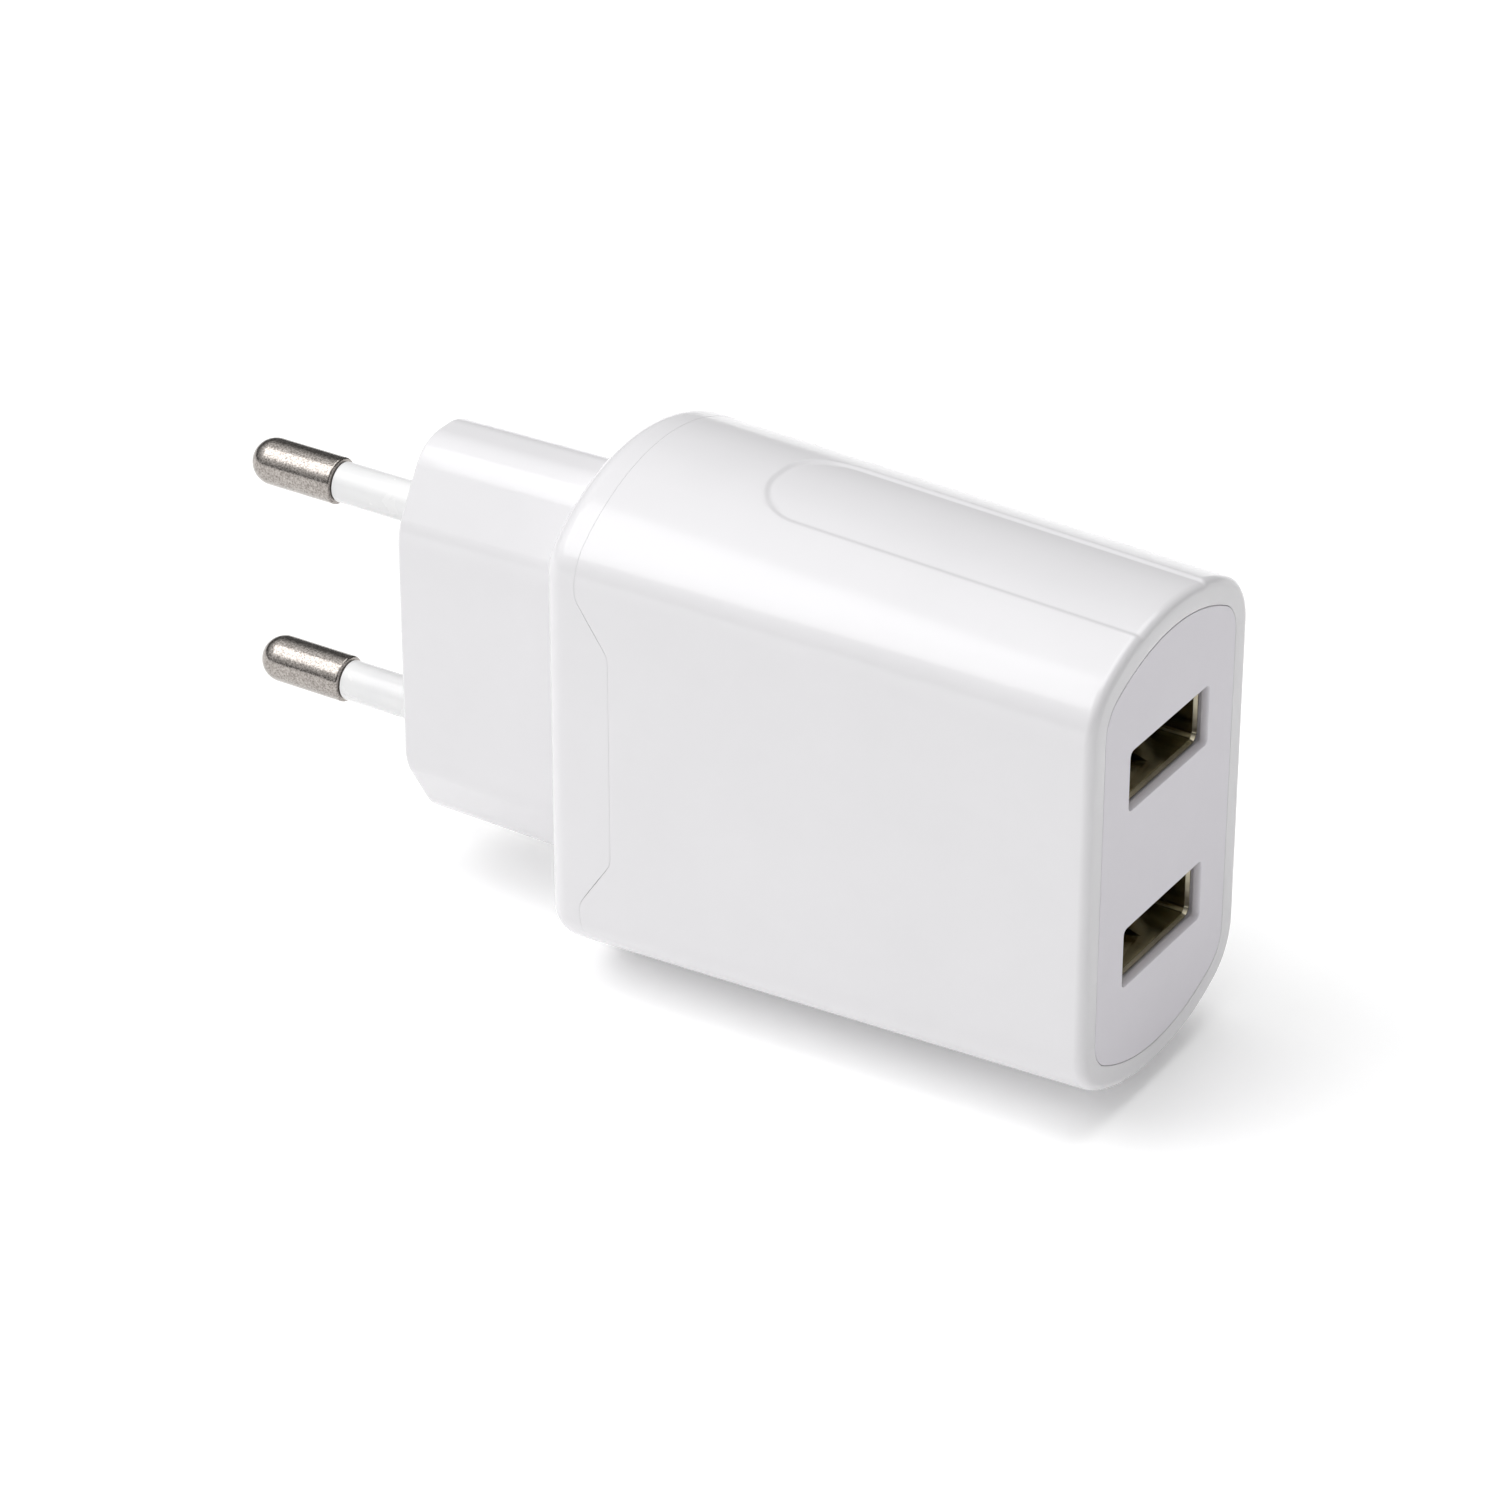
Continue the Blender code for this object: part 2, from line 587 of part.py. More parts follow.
def make_transformer():
    """Two ferrite E cores clasp a bobbin that carries the taped winding."""
    middle = 38.8 * MM
    half_length = 7.3 * MM
    back = 2.0 * MM
    half_core = 2.4 * MM
    half_span = 8.0 * MM
    side_leg = 6.0 * MM
    centre_leg = 2.0 * MM
    for side, name in ((-1, "front"), (1, "rear")):
        far = middle + side * (half_length + GAP / 2)
        root = far - side * back
        tip = middle + side * GAP / 2
        outline = [
            (far, -half_span), (tip, -half_span), (tip, -side_leg), (root, -side_leg),
            (root, -centre_leg), (tip, -centre_leg), (tip, centre_leg), (root, centre_leg),
            (root, side_leg), (tip, side_leg), (tip, half_span), (far, half_span),
        ]
        prism("transformer_core_" + name, outline, "Y", -half_core, half_core, FERRITE)
    inner = (half_core + GAP, centre_leg + GAP)
    spool = (inner[0] + 0.7 * MM, inner[1] + 0.7 * MM)
    flange = 0.9 * MM
    start = middle - half_length + back + HAIRLINE
    end = 2 * middle - start
    foot = BOARD_TOP - GAP
    top = -5.4 * MM

    def frame(x, low, high, half):
        """A rectangular ring of the bobbin."""
        return [(x, low, -half), (x, high, -half), (x, high, half), (x, low, half)]

    wide = side_leg - 0.5 * MM
    rings = [
        frame(start, top, foot, wide),
        frame(start + flange, top, foot, wide),
        frame(start + flange, -spool[0], spool[0], spool[1]),
        frame(end - flange, -spool[0], spool[0], spool[1]),
        frame(end - flange, top, foot, wide),
        frame(end, top, foot, wide),
        frame(end, -inner[0], inner[0], inner[1]),
        frame(start, -inner[0], inner[0], inner[1]),
    ]
    bobbin = loft("transformer_bobbin", rings, PHENOLIC, loop=True)
    rows = (start + flange / 2, end - flange / 2)
    holes = add_leads(bobbin, [(x, z * MM) for x in rows for z in (-4.2, -1.4, 1.4, 4.2)])

    def wrap(x, half, cut):
        """A ring of the winding, with cut corners."""
        quarter = [(half[0], 0.0), (half[0], half[1] - cut), (half[0] - cut, half[1]), (0.0, half[1])]
        return [(x, y, z) for y, z in mirrored(quarter)]

    outer = (5.1 * MM, 5.3 * MM)
    bore = (spool[0] + GAP, spool[1] + GAP)
    low, high = start + flange + GAP, end - flange - GAP
    rings = [wrap(low, outer, 1.0 * MM), wrap(high, outer, 1.0 * MM)]
    rings += [wrap(high, bore, GAP), wrap(low, bore, GAP)]
    loft("transformer_winding", rings, TAPE, loop=True)
    return holes


def make_small_parts():
    """Components that stand beside the transformer."""
    holes = []
    for side, name in ((1, "upper"), (-1, "lower")):
        place = (29.2 * MM, side * 12.5 * MM)
        holes += make_can("primary_capacitor_" + name, place, 4.0 * MM, 13.0 * MM, FOIL_SLEEVE)
        place = (45.5 * MM, side * 13.0 * MM)
        holes += make_can("output_capacitor_" + name, place, 4.0 * MM, 12.0 * MM, BLUE_EPOXY)
    place = (28.6 * MM, 0.0)
    holes += make_can("supply_capacitor", place, 2.2 * MM, 9.0 * MM, FOIL_SLEEVE)

    resistor_x = 24.5 * MM
    resistor_y = BOARD_TOP - 2.2 * MM
    body = [(-4.2 * MM, 1.1 * MM), (-3.8 * MM, 1.4 * MM), (3.8 * MM, 1.4 * MM), (4.2 * MM, 1.1 * MM)]
    resistor = turned(
        "fusible_resistor", body, (resistor_x, resistor_y), GREEN_COAT, axis="Z", segments=16
    )
    leads = [(resistor_x, -3.2 * MM), (resistor_x, 3.2 * MM)]
    holes += add_leads(resistor, leads, resistor_y)

    base = BOARD_TOP - GAP
    drum = [
        (base - 8.0 * MM, 3.1 * MM),
        (base - 7.0 * MM, 3.1 * MM),
        (base - 6.8 * MM, 2.7 * MM),
        (base - 1.2 * MM, 2.7 * MM),
        (base - 1.0 * MM, 3.1 * MM),
        (base, 3.1 * MM),
    ]
    place = (37.4 * MM, -12.4 * MM)
    choke = turned("input_choke", drum, place, FERRITE, axis="Y", segments=16)
    holes += add_leads(choke, [(place[0], place[1] - 1.5 * MM), (place[0], place[1] + 1.5 * MM)])

    half = 1.6 * MM
    middle = 37.4 * MM
    disc = [
        (middle - half, 2.6 * MM), (middle - half + 0.5 * MM, 3.6 * MM),
        (middle + half - 0.5 * MM, 3.6 * MM), (middle + half, 2.6 * MM),
    ]
    disc_centre = (BOARD_TOP - 4.4 * MM, 12.6 * MM)
    suppressor = turned("safety_capacitor", disc, disc_centre, BLUE_EPOXY, axis="X", segments=16)
    leads = [(middle, disc_centre[1] - 2.2 * MM), (middle, disc_centre[1] + 2.2 * MM)]
    holes += add_leads(suppressor, leads, disc_centre[0] + 1.0 * MM)
    return holes


def make_chips():
    """Surface-mounted packages on the board's outer side: (centre x, centre z, size in x, y and z)."""
    chips = {
        "bridge_rectifier": (33.2, 8.0, 4.7, 2.2, 3.9),
        "controller_chip": (33.2, -8.0, 4.9, 1.5, 3.9),
        "output_rectifier": (44.0, 8.0, 4.9, 1.5, 3.9),
        "port_controller_chip": (55.0, 0.0, 2.9, 1.1, 1.7),
    }
    for name, (x, z, long, tall, wide) in chips.items():
        low = ((x - long / 2) * MM, BOARD_BACK + GAP, (z - wide / 2) * MM)
        high = ((x + long / 2) * MM, BOARD_BACK + GAP + tall * MM, (z + wide / 2) * MM)
        box(name, low, high, CHIP_EPOXY)


def make_board(holes):
    """The circuit board, with an isolation slot under the transformer and a hole for each lead."""
    low, high = BOARD_SPAN
    half = BOARD_HALF_WIDTH
    slot = (41.0 * MM, 42.2 * MM)
    slot_end = -8.6 * MM
    corner = 2.0 * MM
    outline = [
        (low, half - corner), (low, corner - half), (low + corner, -half),
        (slot[0], -half), (slot[0], slot_end), (slot[1], slot_end), (slot[1], -half),
        (high, -half), (high, half), (low + corner, half),
    ]
    board = prism("main_board", outline, "Y", BOARD_TOP, BOARD_BACK, BOARD_GREEN)
    shape = bmesh.new()
    for place in holes:
        ends = (BOARD_TOP - OVERLAP, BOARD_BACK + OVERLAP)
        loft_into(shape, [circle_ring("Y", y, LEAD_HOLE_RADIUS, place, SMALL_ROUND) for y in ends])
    combine(board, object_of("lead_holes", shape), "DIFFERENCE")


def main():
    """Build the charger from its pins to its USB face."""
    clear_scene()
    make_pins()
    make_plug_cap()
    make_housing_sleeve()
    make_usb_face_plate()
    holes = make_transformer() + make_small_parts()
    for side, name in ((1, "upper"), (-1, "lower")):
        holes += make_contact_spring(side, name)
        holes += make_socket(side, name)
    make_chips()
    make_board(holes)


main()
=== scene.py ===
"""Looks of a two-port USB wall charger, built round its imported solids.

Lengths are in metres in the model's own frame: X runs from the pins to the USB face, Y through the
thickness and Z up. The origin is the middle of the plug face that meets the wall outlet.
"""

import logging
import math
from collections.abc import Callable, Sequence
from dataclasses import dataclass
from enum import Enum

import bmesh
import bpy
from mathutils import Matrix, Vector


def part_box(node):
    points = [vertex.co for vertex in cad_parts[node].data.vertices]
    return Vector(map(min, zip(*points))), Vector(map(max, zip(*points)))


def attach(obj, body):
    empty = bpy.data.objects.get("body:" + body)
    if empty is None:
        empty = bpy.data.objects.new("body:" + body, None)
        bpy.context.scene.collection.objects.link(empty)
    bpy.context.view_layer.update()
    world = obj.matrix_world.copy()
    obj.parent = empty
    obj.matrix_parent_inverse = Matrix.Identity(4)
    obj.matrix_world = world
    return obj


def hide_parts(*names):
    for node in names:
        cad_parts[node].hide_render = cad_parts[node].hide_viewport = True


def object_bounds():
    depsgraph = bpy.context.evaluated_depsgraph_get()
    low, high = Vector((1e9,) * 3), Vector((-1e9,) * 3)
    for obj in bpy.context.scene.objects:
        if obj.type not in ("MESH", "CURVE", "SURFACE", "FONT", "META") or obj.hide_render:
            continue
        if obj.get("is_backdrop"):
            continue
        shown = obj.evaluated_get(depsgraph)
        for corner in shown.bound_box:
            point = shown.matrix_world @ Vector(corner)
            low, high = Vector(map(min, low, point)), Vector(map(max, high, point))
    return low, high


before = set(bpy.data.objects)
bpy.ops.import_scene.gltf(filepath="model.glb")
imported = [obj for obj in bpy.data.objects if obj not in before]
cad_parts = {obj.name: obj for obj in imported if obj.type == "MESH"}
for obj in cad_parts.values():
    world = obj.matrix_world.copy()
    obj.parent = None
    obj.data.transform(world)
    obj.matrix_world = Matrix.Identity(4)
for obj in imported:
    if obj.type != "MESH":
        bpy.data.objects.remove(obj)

MM = 0.001
BODY = "root"
WHITE = "#FFFFFF"
SHARP_DEG = 32.0  # edges steeper than this stay sharp
FLAT_WEIGHT = 80  # how strongly large flat faces pull the normals beside them
CLOUD_SPAN = (0.3, 0.7)  # most of a cloud pattern's values lie between these
SEAM_X = 21.6 * MM  # where the seam crosses the narrow sides
CORNER_COUNT = 6  # steps round each corner of a rounded rectangle
OVERSHOOT = 1.0 * MM  # how far a cutter reaches past what it cuts
LOG = logging.getLogger("usb_charger")

Pair = tuple[float, float]
Point = tuple[float, float, float]
Ring = list[Point]
Colour = tuple[float, float, float, float]


class Side(Enum):
    """Which of two matching pieces: the one above the middle or the one below it."""

    UPPER = 1
    LOWER = -1

    @property
    def word(self) -> str:
        """The word that names of pieces on this side end with."""
        return self.name.lower()


# --- Finishes ---


def linear(hex_colour: str) -> Colour:
    """Turn an sRGB hex colour into the linear colour that a shader takes.

    Args:
        hex_colour: six hex digits, with or without a leading #.

    Returns:
        Linear red, green, blue and an alpha of 1.
    """
    digits = hex_colour.lstrip("#")
    channels = [int(digits[i : i + 2], 16) / 255 for i in (0, 2, 4)]
    red, green, blue = (
        c / 12.92 if c <= 0.04045 else ((c + 0.055) / 1.055) ** 2.4 for c in channels
    )
    return red, green, blue, 1.0


def add_node(
    tree: bpy.types.NodeTree, kind: str, inputs: dict[str, object] | None = None, **settings: object
) -> bpy.types.Node:
    """Add a shader node, with its input values, the links into it and its settings.

    Args:
        tree: the node tree that takes the node.
        kind: the node's type name, without its ShaderNode prefix.
        inputs: input socket names, each with a value or with the output socket that feeds it.
        settings: attribute values of the node.

    Returns:
        The new node.
    """
    node = tree.nodes.new("ShaderNode" + kind)
    for name, value in settings.items():
        setattr(node, name, value)
    for name, value in (inputs or {}).items():
        if isinstance(value, bpy.types.NodeSocket):
            tree.links.new(value, node.inputs[name])
        else:
            node.inputs[name].default_value = value
    return node


@dataclass(frozen=True)
class Finish:
    """A surface of one material: its colour range, its gloss range and its fine grain.

    pattern_mm is the size of the slow variation and grain_mm that of the fine relief.
    """

    name: str
    light: str
    dark: str
    roughness: Pair
    pattern_mm: float
    grain_mm: float
    relief_mm: float
    metallic: float = 0.0
    ior: float = 1.5
    glow: float = 0.0
    stretch: Point = (1.0, 1.0, 1.0)

    def material(self) -> bpy.types.Material:
        """Build the material once and hand it out.

        Returns:
            The node material of this finish.
        """
        found = bpy.data.materials.get(self.name)
        if found:
            return found
        made = bpy.data.materials.new(self.name)
        made.use_nodes = True
        tree = made.node_tree
        tree.nodes.clear()
        place = add_node(tree, "TexCoord").outputs["Object"]
        scaled = add_node(tree, "Mapping", {"Vector": place, "Scale": self.stretch})
        place = scaled.outputs["Vector"]
        colour, roughness = self.pattern(tree, place)
        normal = self.relief(tree, place)
        inputs = {
            "Base Color": colour,
            "Roughness": roughness,
            "Normal": normal,
            "Metallic": self.metallic,
        }
        if not self.metallic:
            inputs["IOR"] = self.ior
        if self.glow:
            inputs["Emission Color"] = linear(WHITE)
            inputs["Emission Strength"] = self.glow
        shader = add_node(tree, "BsdfPrincipled", inputs)
        add_node(tree, "OutputMaterial", {"Surface": shader.outputs["BSDF"]})
        return made

    def pattern(
        self, tree: bpy.types.NodeTree, place: bpy.types.NodeSocket
    ) -> tuple[bpy.types.NodeSocket, bpy.types.NodeSocket]:
        """Vary colour and gloss slowly over the surface.

        Args:
            tree: the material's node tree.
            place: the surface's own coordinates, in metres.

        Returns:
            The colour and roughness outputs.
        """
        size = self.pattern_mm * MM
        inputs = {"Vector": place, "Scale": 1 / size, "Detail": 4.0, "Roughness": 0.55}
        cloud = add_node(tree, "TexNoise", inputs)
        colour = add_node(tree, "ValToRGB", {"Fac": cloud.outputs["Fac"]})
        colours = (self.dark, self.light)
        for end, position, shade in zip(colour.color_ramp.elements, CLOUD_SPAN, colours):
            end.position = position
            end.color = linear(shade)
        gloss = add_node(
            tree,
            "MapRange",
            {
                "Value": cloud.outputs["Fac"],
                "From Min": CLOUD_SPAN[0],
                "From Max": CLOUD_SPAN[1],
                "To Min": self.roughness[0],
                "To Max": self.roughness[1],
            },
        )
        return colour.outputs["Color"], gloss.outputs["Result"]

    def relief(
        self, tree: bpy.types.NodeTree, place: bpy.types.NodeSocket
    ) -> bpy.types.NodeSocket:
        """Give the surface its fine grain.

        Args:
            tree: the material's node tree.
            place: the surface's own coordinates, in metres.

        Returns:
            The normal output.
        """
        size = self.grain_mm * MM
        grain = add_node(tree, "TexNoise", {"Vector": place, "Scale": 1 / size, "Detail": 3.0})
        height = grain.outputs["Fac"]
        inputs = {"Height": height, "Distance": self.relief_mm * MM, "Strength": 1.0}
        bump = add_node(tree, "Bump", inputs)
        return bump.outputs["Normal"]


# Polycarbonate moulded in a polished tool: a clear gloss with a barely uneven sheen.
CASE_WHITE = Finish(
    "polycarbonate_moulded_white", "#DDDCDE", "#DBDADC", (0.16, 0.20), 9.0, 1.6, 0.0006, ior=1.58
)
# The same resin from a tool with a faint satin texture, a little cooler in colour.
FACE_WHITE = Finish(
    "polycarbonate_satin_white", "#DDDAE0", "#DAD7DD", (0.34, 0.40), 6.0, 0.35, 0.002, ior=1.58
)
# Nylon moulded over the pin: smooth, slightly warmer and softer in its gloss.
SLEEVE_WHITE = Finish(
    "nylon_overmoulded_white", "#E1E1E1", "#DDDDDE", (0.22, 0.28), 3.0, 0.4, 0.002, ior=1.53
)
# Brass turned on a lathe and barrel plated with nickel: tumbling leaves a grainy satin, with grains
# drawn coarser than the real ones so that they show.
PIN_NICKEL = Finish(
    "brass_nickel_barrel_plated", "#BEB8B3", "#736D68", (0.10, 0.24), 0.16, 0.2, 0.010, metallic=1.0
)
# Steel strip, hot tinned before stamping: bright, with soft streaks along the strip.
SHELL_TIN = Finish(
    "steel_tinned_stamped", "#B6B09B", "#9E9782", (0.14, 0.24), 0.9, 0.4, 0.001,
    metallic=1.0, stretch=(0.25, 1.0, 1.0),
)
# Phosphor bronze with a flash of gold: warm and even.
CONTACT_GOLD = Finish(
    "bronze_gold_flashed", "#E3C27C", "#CFA65B", (0.20, 0.32), 0.8, 0.25, 0.002, metallic=1.0
)
# Bare phosphor bronze strip: reddish, with rolling marks along its length.
SPRING_BRONZE = Finish(
    "bronze_rolled_strip", "#C08A62", "#A06E4A", (0.30, 0.45), 1.2, 0.3, 0.004,
    metallic=1.0, stretch=(0.2, 1.0, 1.0),
)
# Glass-filled nylon, moulded and left uncoloured: ivory, with fibres that leave it slightly uneven.
SOCKET_NYLON = Finish(
    "nylon_glass_filled_natural", "#D2CDB9", "#C6C0AA", (0.38, 0.55), 0.8, 0.2, 0.006, ior=1.53
)
# Woven glass and epoxy under solder mask: green, glossy, with the cloth showing through.
BOARD_MASK = Finish(
    "epoxy_glass_solder_masked", "#1F6B3E", "#185532", (0.25, 0.35), 2.5, 0.5, 0.010, ior=1.55
)
# Pressed and sintered ferrite, ground on its faces: dark grey with open pores.
CORE_FERRITE = Finish(
    "ferrite_sintered_ground", "#45464A", "#2C2D30", (0.45, 0.70), 0.6, 0.15, 0.015, ior=1.9
)
# Phenolic resin, compression moulded: black with a dull bloom.
BOBBIN_PHENOLIC = Finish(
    "phenolic_moulded_black", "#24211F", "#171514", (0.45, 0.60), 1.2, 0.2, 0.006, ior=1.6
)
# Polyester film tape wound tight: yellow, glossy, with edges of the turns showing.
WINDING_TAPE = Finish(
    "polyester_tape_yellow", "#E2B52B", "#CF9D1C", (0.22, 0.34), 1.6, 0.6, 0.020,
    ior=1.6, stretch=(1.0, 0.2, 0.2),
)
# Shrunk vinyl film over an aluminium can: dark, with slight waves.
CAN_FILM = Finish(
    "vinyl_film_shrunk_dark", "#23262E", "#191B22", (0.24, 0.36), 3.0, 1.2, 0.010, ior=1.54
)
# The same film in blue.
CAN_FILM_BLUE = Finish(
    "vinyl_film_shrunk_blue", "#2F5FA8", "#274F92", (0.24, 0.36), 3.0, 1.2, 0.010, ior=1.54
)
# Epoxy powder dip: blue, thick and rounded, with a slight orange peel.
DISC_EPOXY = Finish(
    "epoxy_dipped_blue", "#2C69B4", "#235798", (0.20, 0.30), 2.0, 0.7, 0.030, ior=1.55
)
# Flameproof cement coat: grey-green and chalky.
RESISTOR_COAT = Finish(
    "cement_coat_green", "#7DA88B", "#648F73", (0.55, 0.75), 0.9, 0.2, 0.020, ior=1.5
)
# Epoxy transfer moulded round a chip: black and slightly pitted.
CHIP_EPOXY = Finish(
    "epoxy_moulded_black", "#222325", "#17181A", (0.50, 0.65), 0.8, 0.12, 0.008, ior=1.55
)
# Opal acrylic sheet lit from below: its glow swallows the shadows.
STUDIO_WHITE = Finish(
    "acrylic_opal_backlit", "#FCFCFC", "#FAFAFA", (0.80, 0.85), 60.0, 4.0, 0.02, ior=1.49, glow=0.15
)


# --- Mesh tools ---


def mesh_object(name: str, shape: bmesh.types.BMesh) -> bpy.types.Object:
    """Turn a closed bmesh into a smooth-shaded object whose faces point outwards.

    Args:
        name: the piece's name.
        shape: the mesh, which is freed.

    Returns:
        The linked object.
    """
    bmesh.ops.recalc_face_normals(shape, faces=shape.faces[:])
    if shape.calc_volume(signed=True) < 0:
        bmesh.ops.reverse_faces(shape, faces=shape.faces[:])
    mesh = bpy.data.meshes.new(name)
    shape.to_mesh(mesh)
    shape.free()
    mesh.shade_smooth()
    mesh.set_sharp_from_angle(angle=math.radians(SHARP_DEG))
    made = bpy.data.objects.new(name, mesh)
    bpy.context.scene.collection.objects.link(made)
    return made


def skinned(name: str, rings: Sequence[Ring], loop: bool = False) -> bpy.types.Object:
    """Make an object skinned over rings of equal length.

    Args:
        name: the piece's name.
        rings: the rings, in order.
        loop: join the last ring to the first, where both are otherwise closed with a flat face.

    Returns:
        The linked object.
    """
    shape = bmesh.new()
    rows = [[shape.verts.new(point) for point in ring] for ring in rings]
    pairs = list(zip(rows, rows[1:]))
    if loop:
        pairs.append((rows[-1], rows[0]))
    for low, high in pairs:
        for i in range(len(low)):
            j = (i + 1) % len(low)
            shape.faces.new((low[i], low[j], high[j], high[i]))
    if not loop:
        shape.faces.new(rows[0])
        shape.faces.new(rows[-1])
    return mesh_object(name, shape)


def apply_modifiers(piece: bpy.types.Object) -> None:
    """Replace a piece's mesh with its evaluated one.

    Args:
        piece: the object whose modifiers are applied.
    """
    graph = bpy.context.evaluated_depsgraph_get()
    mesh = bpy.data.meshes.new_from_object(piece.evaluated_get(graph))
    piece.modifiers.clear()
    piece.data = mesh


def cut(piece: bpy.types.Object, cutter: bpy.types.Object, operation: str = "DIFFERENCE") -> None:
    """Cut a piece with another, or join it to it, and use that other up.

    Args:
        piece: the object that changes.
        cutter: the object that is removed afterwards.
        operation: the Boolean's operation.
    """
    modifier = piece.modifiers.new("cut", "BOOLEAN")
    modifier.operation = operation
    modifier.solver = "EXACT"
    modifier.object = cutter
    apply_modifiers(piece)
    bpy.data.objects.remove(cutter, do_unlink=True)


def even_shading(piece: bpy.types.Object, sharp_deg: float = SHARP_DEG) -> None:
    """Let large flat faces keep their own normal beside rounded edges.

    Args:
        piece: the object to shade.
        sharp_deg: edges steeper than this stay sharp.
    """
    piece.data.shade_smooth()
    piece.data.set_sharp_from_angle(angle=math.radians(sharp_deg))
    modifier = piece.modifiers.new("even_shading", "WEIGHTED_NORMAL")
    modifier.keep_sharp = True
    modifier.weight = FLAT_WEIGHT


def finish_piece(
    piece: bpy.types.Object,
    finish: Finish,
    replaces: Sequence[str],
    sharp_deg: float = SHARP_DEG,
) -> None:
    """Shade and dress a piece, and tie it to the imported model.

    Args:
        piece: the finished shape.
        finish: its surface.
        replaces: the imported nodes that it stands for.
        sharp_deg: edges steeper than this stay sharp.
    """
    even_shading(piece, sharp_deg)
    piece.data.materials.clear()
    piece.data.materials.append(finish.material())
    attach(piece, BODY)
    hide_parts(*replaces)
    LOG.info("%s: %d faces, %s", piece.name, len(piece.data.polygons), finish.name)


def steps(start: float, stop: float, count: int) -> list[float]:
    """Even steps from start to stop: count + 1 values, both ends included."""
    return [start + (stop - start) * i / count for i in range(count + 1)]


def ease(share: float) -> float:
    """Clamp a share to 0 and 1 and ease it, with flat ends."""
    held = max(0.0, min(1.0, share))
    return held * held * (3 - 2 * held)


def circle(x: float, radius: float, centre: Pair, segments: int) -> Ring:
    """A ring at x round an axis that runs along X, whose y and z are the centre."""
    turns = (math.tau * i / segments for i in range(segments))
    return [(x, centre[0] + radius * math.cos(t), centre[1] + radius * math.sin(t)) for t in turns]


def turned(
    name: str, profile: Sequence[Pair], centre: Pair, segments: int = 64, loop: bool = False
) -> bpy.types.Object:
    """Turn a profile of x and radius round an axis along X; a tube's profile is a loop."""
    return skinned(name, [circle(x, radius, centre, segments) for x, radius in profile], loop)


def edge_round(radius: float, count: int) -> list[Pair]:
    """A quarter round over an edge, from the side of a piece to its end face.

    Args:
        radius: the radius of the round.
        count: how many steps it takes.

    Returns:
        For each step, how far it lies behind the end face and how far it is drawn in from the side.
    """
    turns = steps(0.0, math.pi / 2, count)
    return [(radius * (1 - math.sin(t)), radius * (1 - math.cos(t))) for t in turns]


def rounded_box_outline(half: Pair, centre: Pair, radius: float, grow: float = 0.0) -> list[Pair]:
    """A rectangle with round corners.

    Args:
        half: its half width and half height.
        centre: its middle.
        radius: the corners' radius before it grows.
        grow: how far every side moves outwards.

    Returns:
        The outline's points, against the clock from the upper right corner.
    """
    points: list[Pair] = []
    for quarter, (across, up) in enumerate(((1, 1), (-1, 1), (-1, -1), (1, -1))):
        y = centre[0] + across * (half[0] - radius)
        z = centre[1] + up * (half[1] - radius)
        for degrees in steps(quarter * 90.0, (quarter + 1) * 90.0, CORNER_COUNT):
            turn = math.radians(degrees)
            points.append(
                (y + (radius + grow) * math.cos(turn), z + (radius + grow) * math.sin(turn))
            )
    return points


def standing(outline: Sequence[Pair], x: float) -> Ring:
    """Stand an outline of y and z up at x."""
    return [(x, y, z) for y, z in outline]


def soft_box(name: str, low: Point, high: Point, edge: float) -> bpy.types.Object:
    """A box with rounded edges.

    Args:
        name: the piece's name.
        low: its lowest corner.
        high: its highest corner.
        edge: the radius of its edges.

    Returns:
        The linked object.
    """
    shape = bmesh.new()
    bmesh.ops.create_cube(shape, size=1.0)
    for vertex in shape.verts:
        vertex.co = Vector(
            [lo + (hi - lo) * (c + 0.5) for lo, hi, c in zip(low, high, vertex.co)]
        )
    bmesh.ops.bevel(
        shape, geom=shape.edges[:], offset=edge, segments=2, profile=0.5, affect="EDGES"
    )
    made = mesh_object(name, shape)
    even_shading(made)
    return made


class RoundBox:
    """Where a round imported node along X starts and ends, with its axis and its radius."""

    def __init__(self, node: str) -> None:
        """Read the node's box.

        Args:
            node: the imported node's name.
        """
        low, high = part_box(node)
        self.start, self.end = low.x, high.x
        self.centre = ((low.y + high.y) / 2, (low.z + high.z) / 2)
        self.radius = (high.y - low.y) / 2


# --- Sections of the case and of the plug block ---


@dataclass(frozen=True)
class EdgePoint:
    """A point of a section with its outward normal."""

    y: float
    z: float
    normal_y: float
    normal_z: float

    def flipped(self, y: int, z: int) -> "EdgePoint":
        """The same point in another quarter of the section."""
        return EdgePoint(y * self.y, z * self.z, y * self.normal_y, z * self.normal_z)

    @property
    def on_broad_side(self) -> bool:
        """Whether the point lies on the flat of a broad side."""
        return abs(self.normal_z) <= BROAD_SLOPE

    @property
    def on_narrow_side(self) -> bool:
        """Whether the point lies on a narrow side or on the upper part of a corner."""
        return abs(self.normal_z) >= NARROW_SLOPE


Section = list[EdgePoint]
BROAD_SLOPE = 0.02  # largest lean of a normal that still counts as the broad side's
NARROW_SLOPE = 0.5  # least lean of a normal that counts as the narrow side's
# Where points lie on half of a broad flat, closely set where the seam steps across it.
FLAT_SHARES = steps(0.04, 0.5, 4) + steps(0.56, 0.99, 17)
CORNER_STEPS = 10
# Steps of a quarter's narrow side: from the corner to the grip's edge, across that edge and on to the
# middle, which the last point misses by a share of the grip's half width.
SIDE_STEPS = (8, 11, 15)
MIDDLE_SHARE = 1 / 30
SIDE_COUNT = sum(SIDE_STEPS) + 1


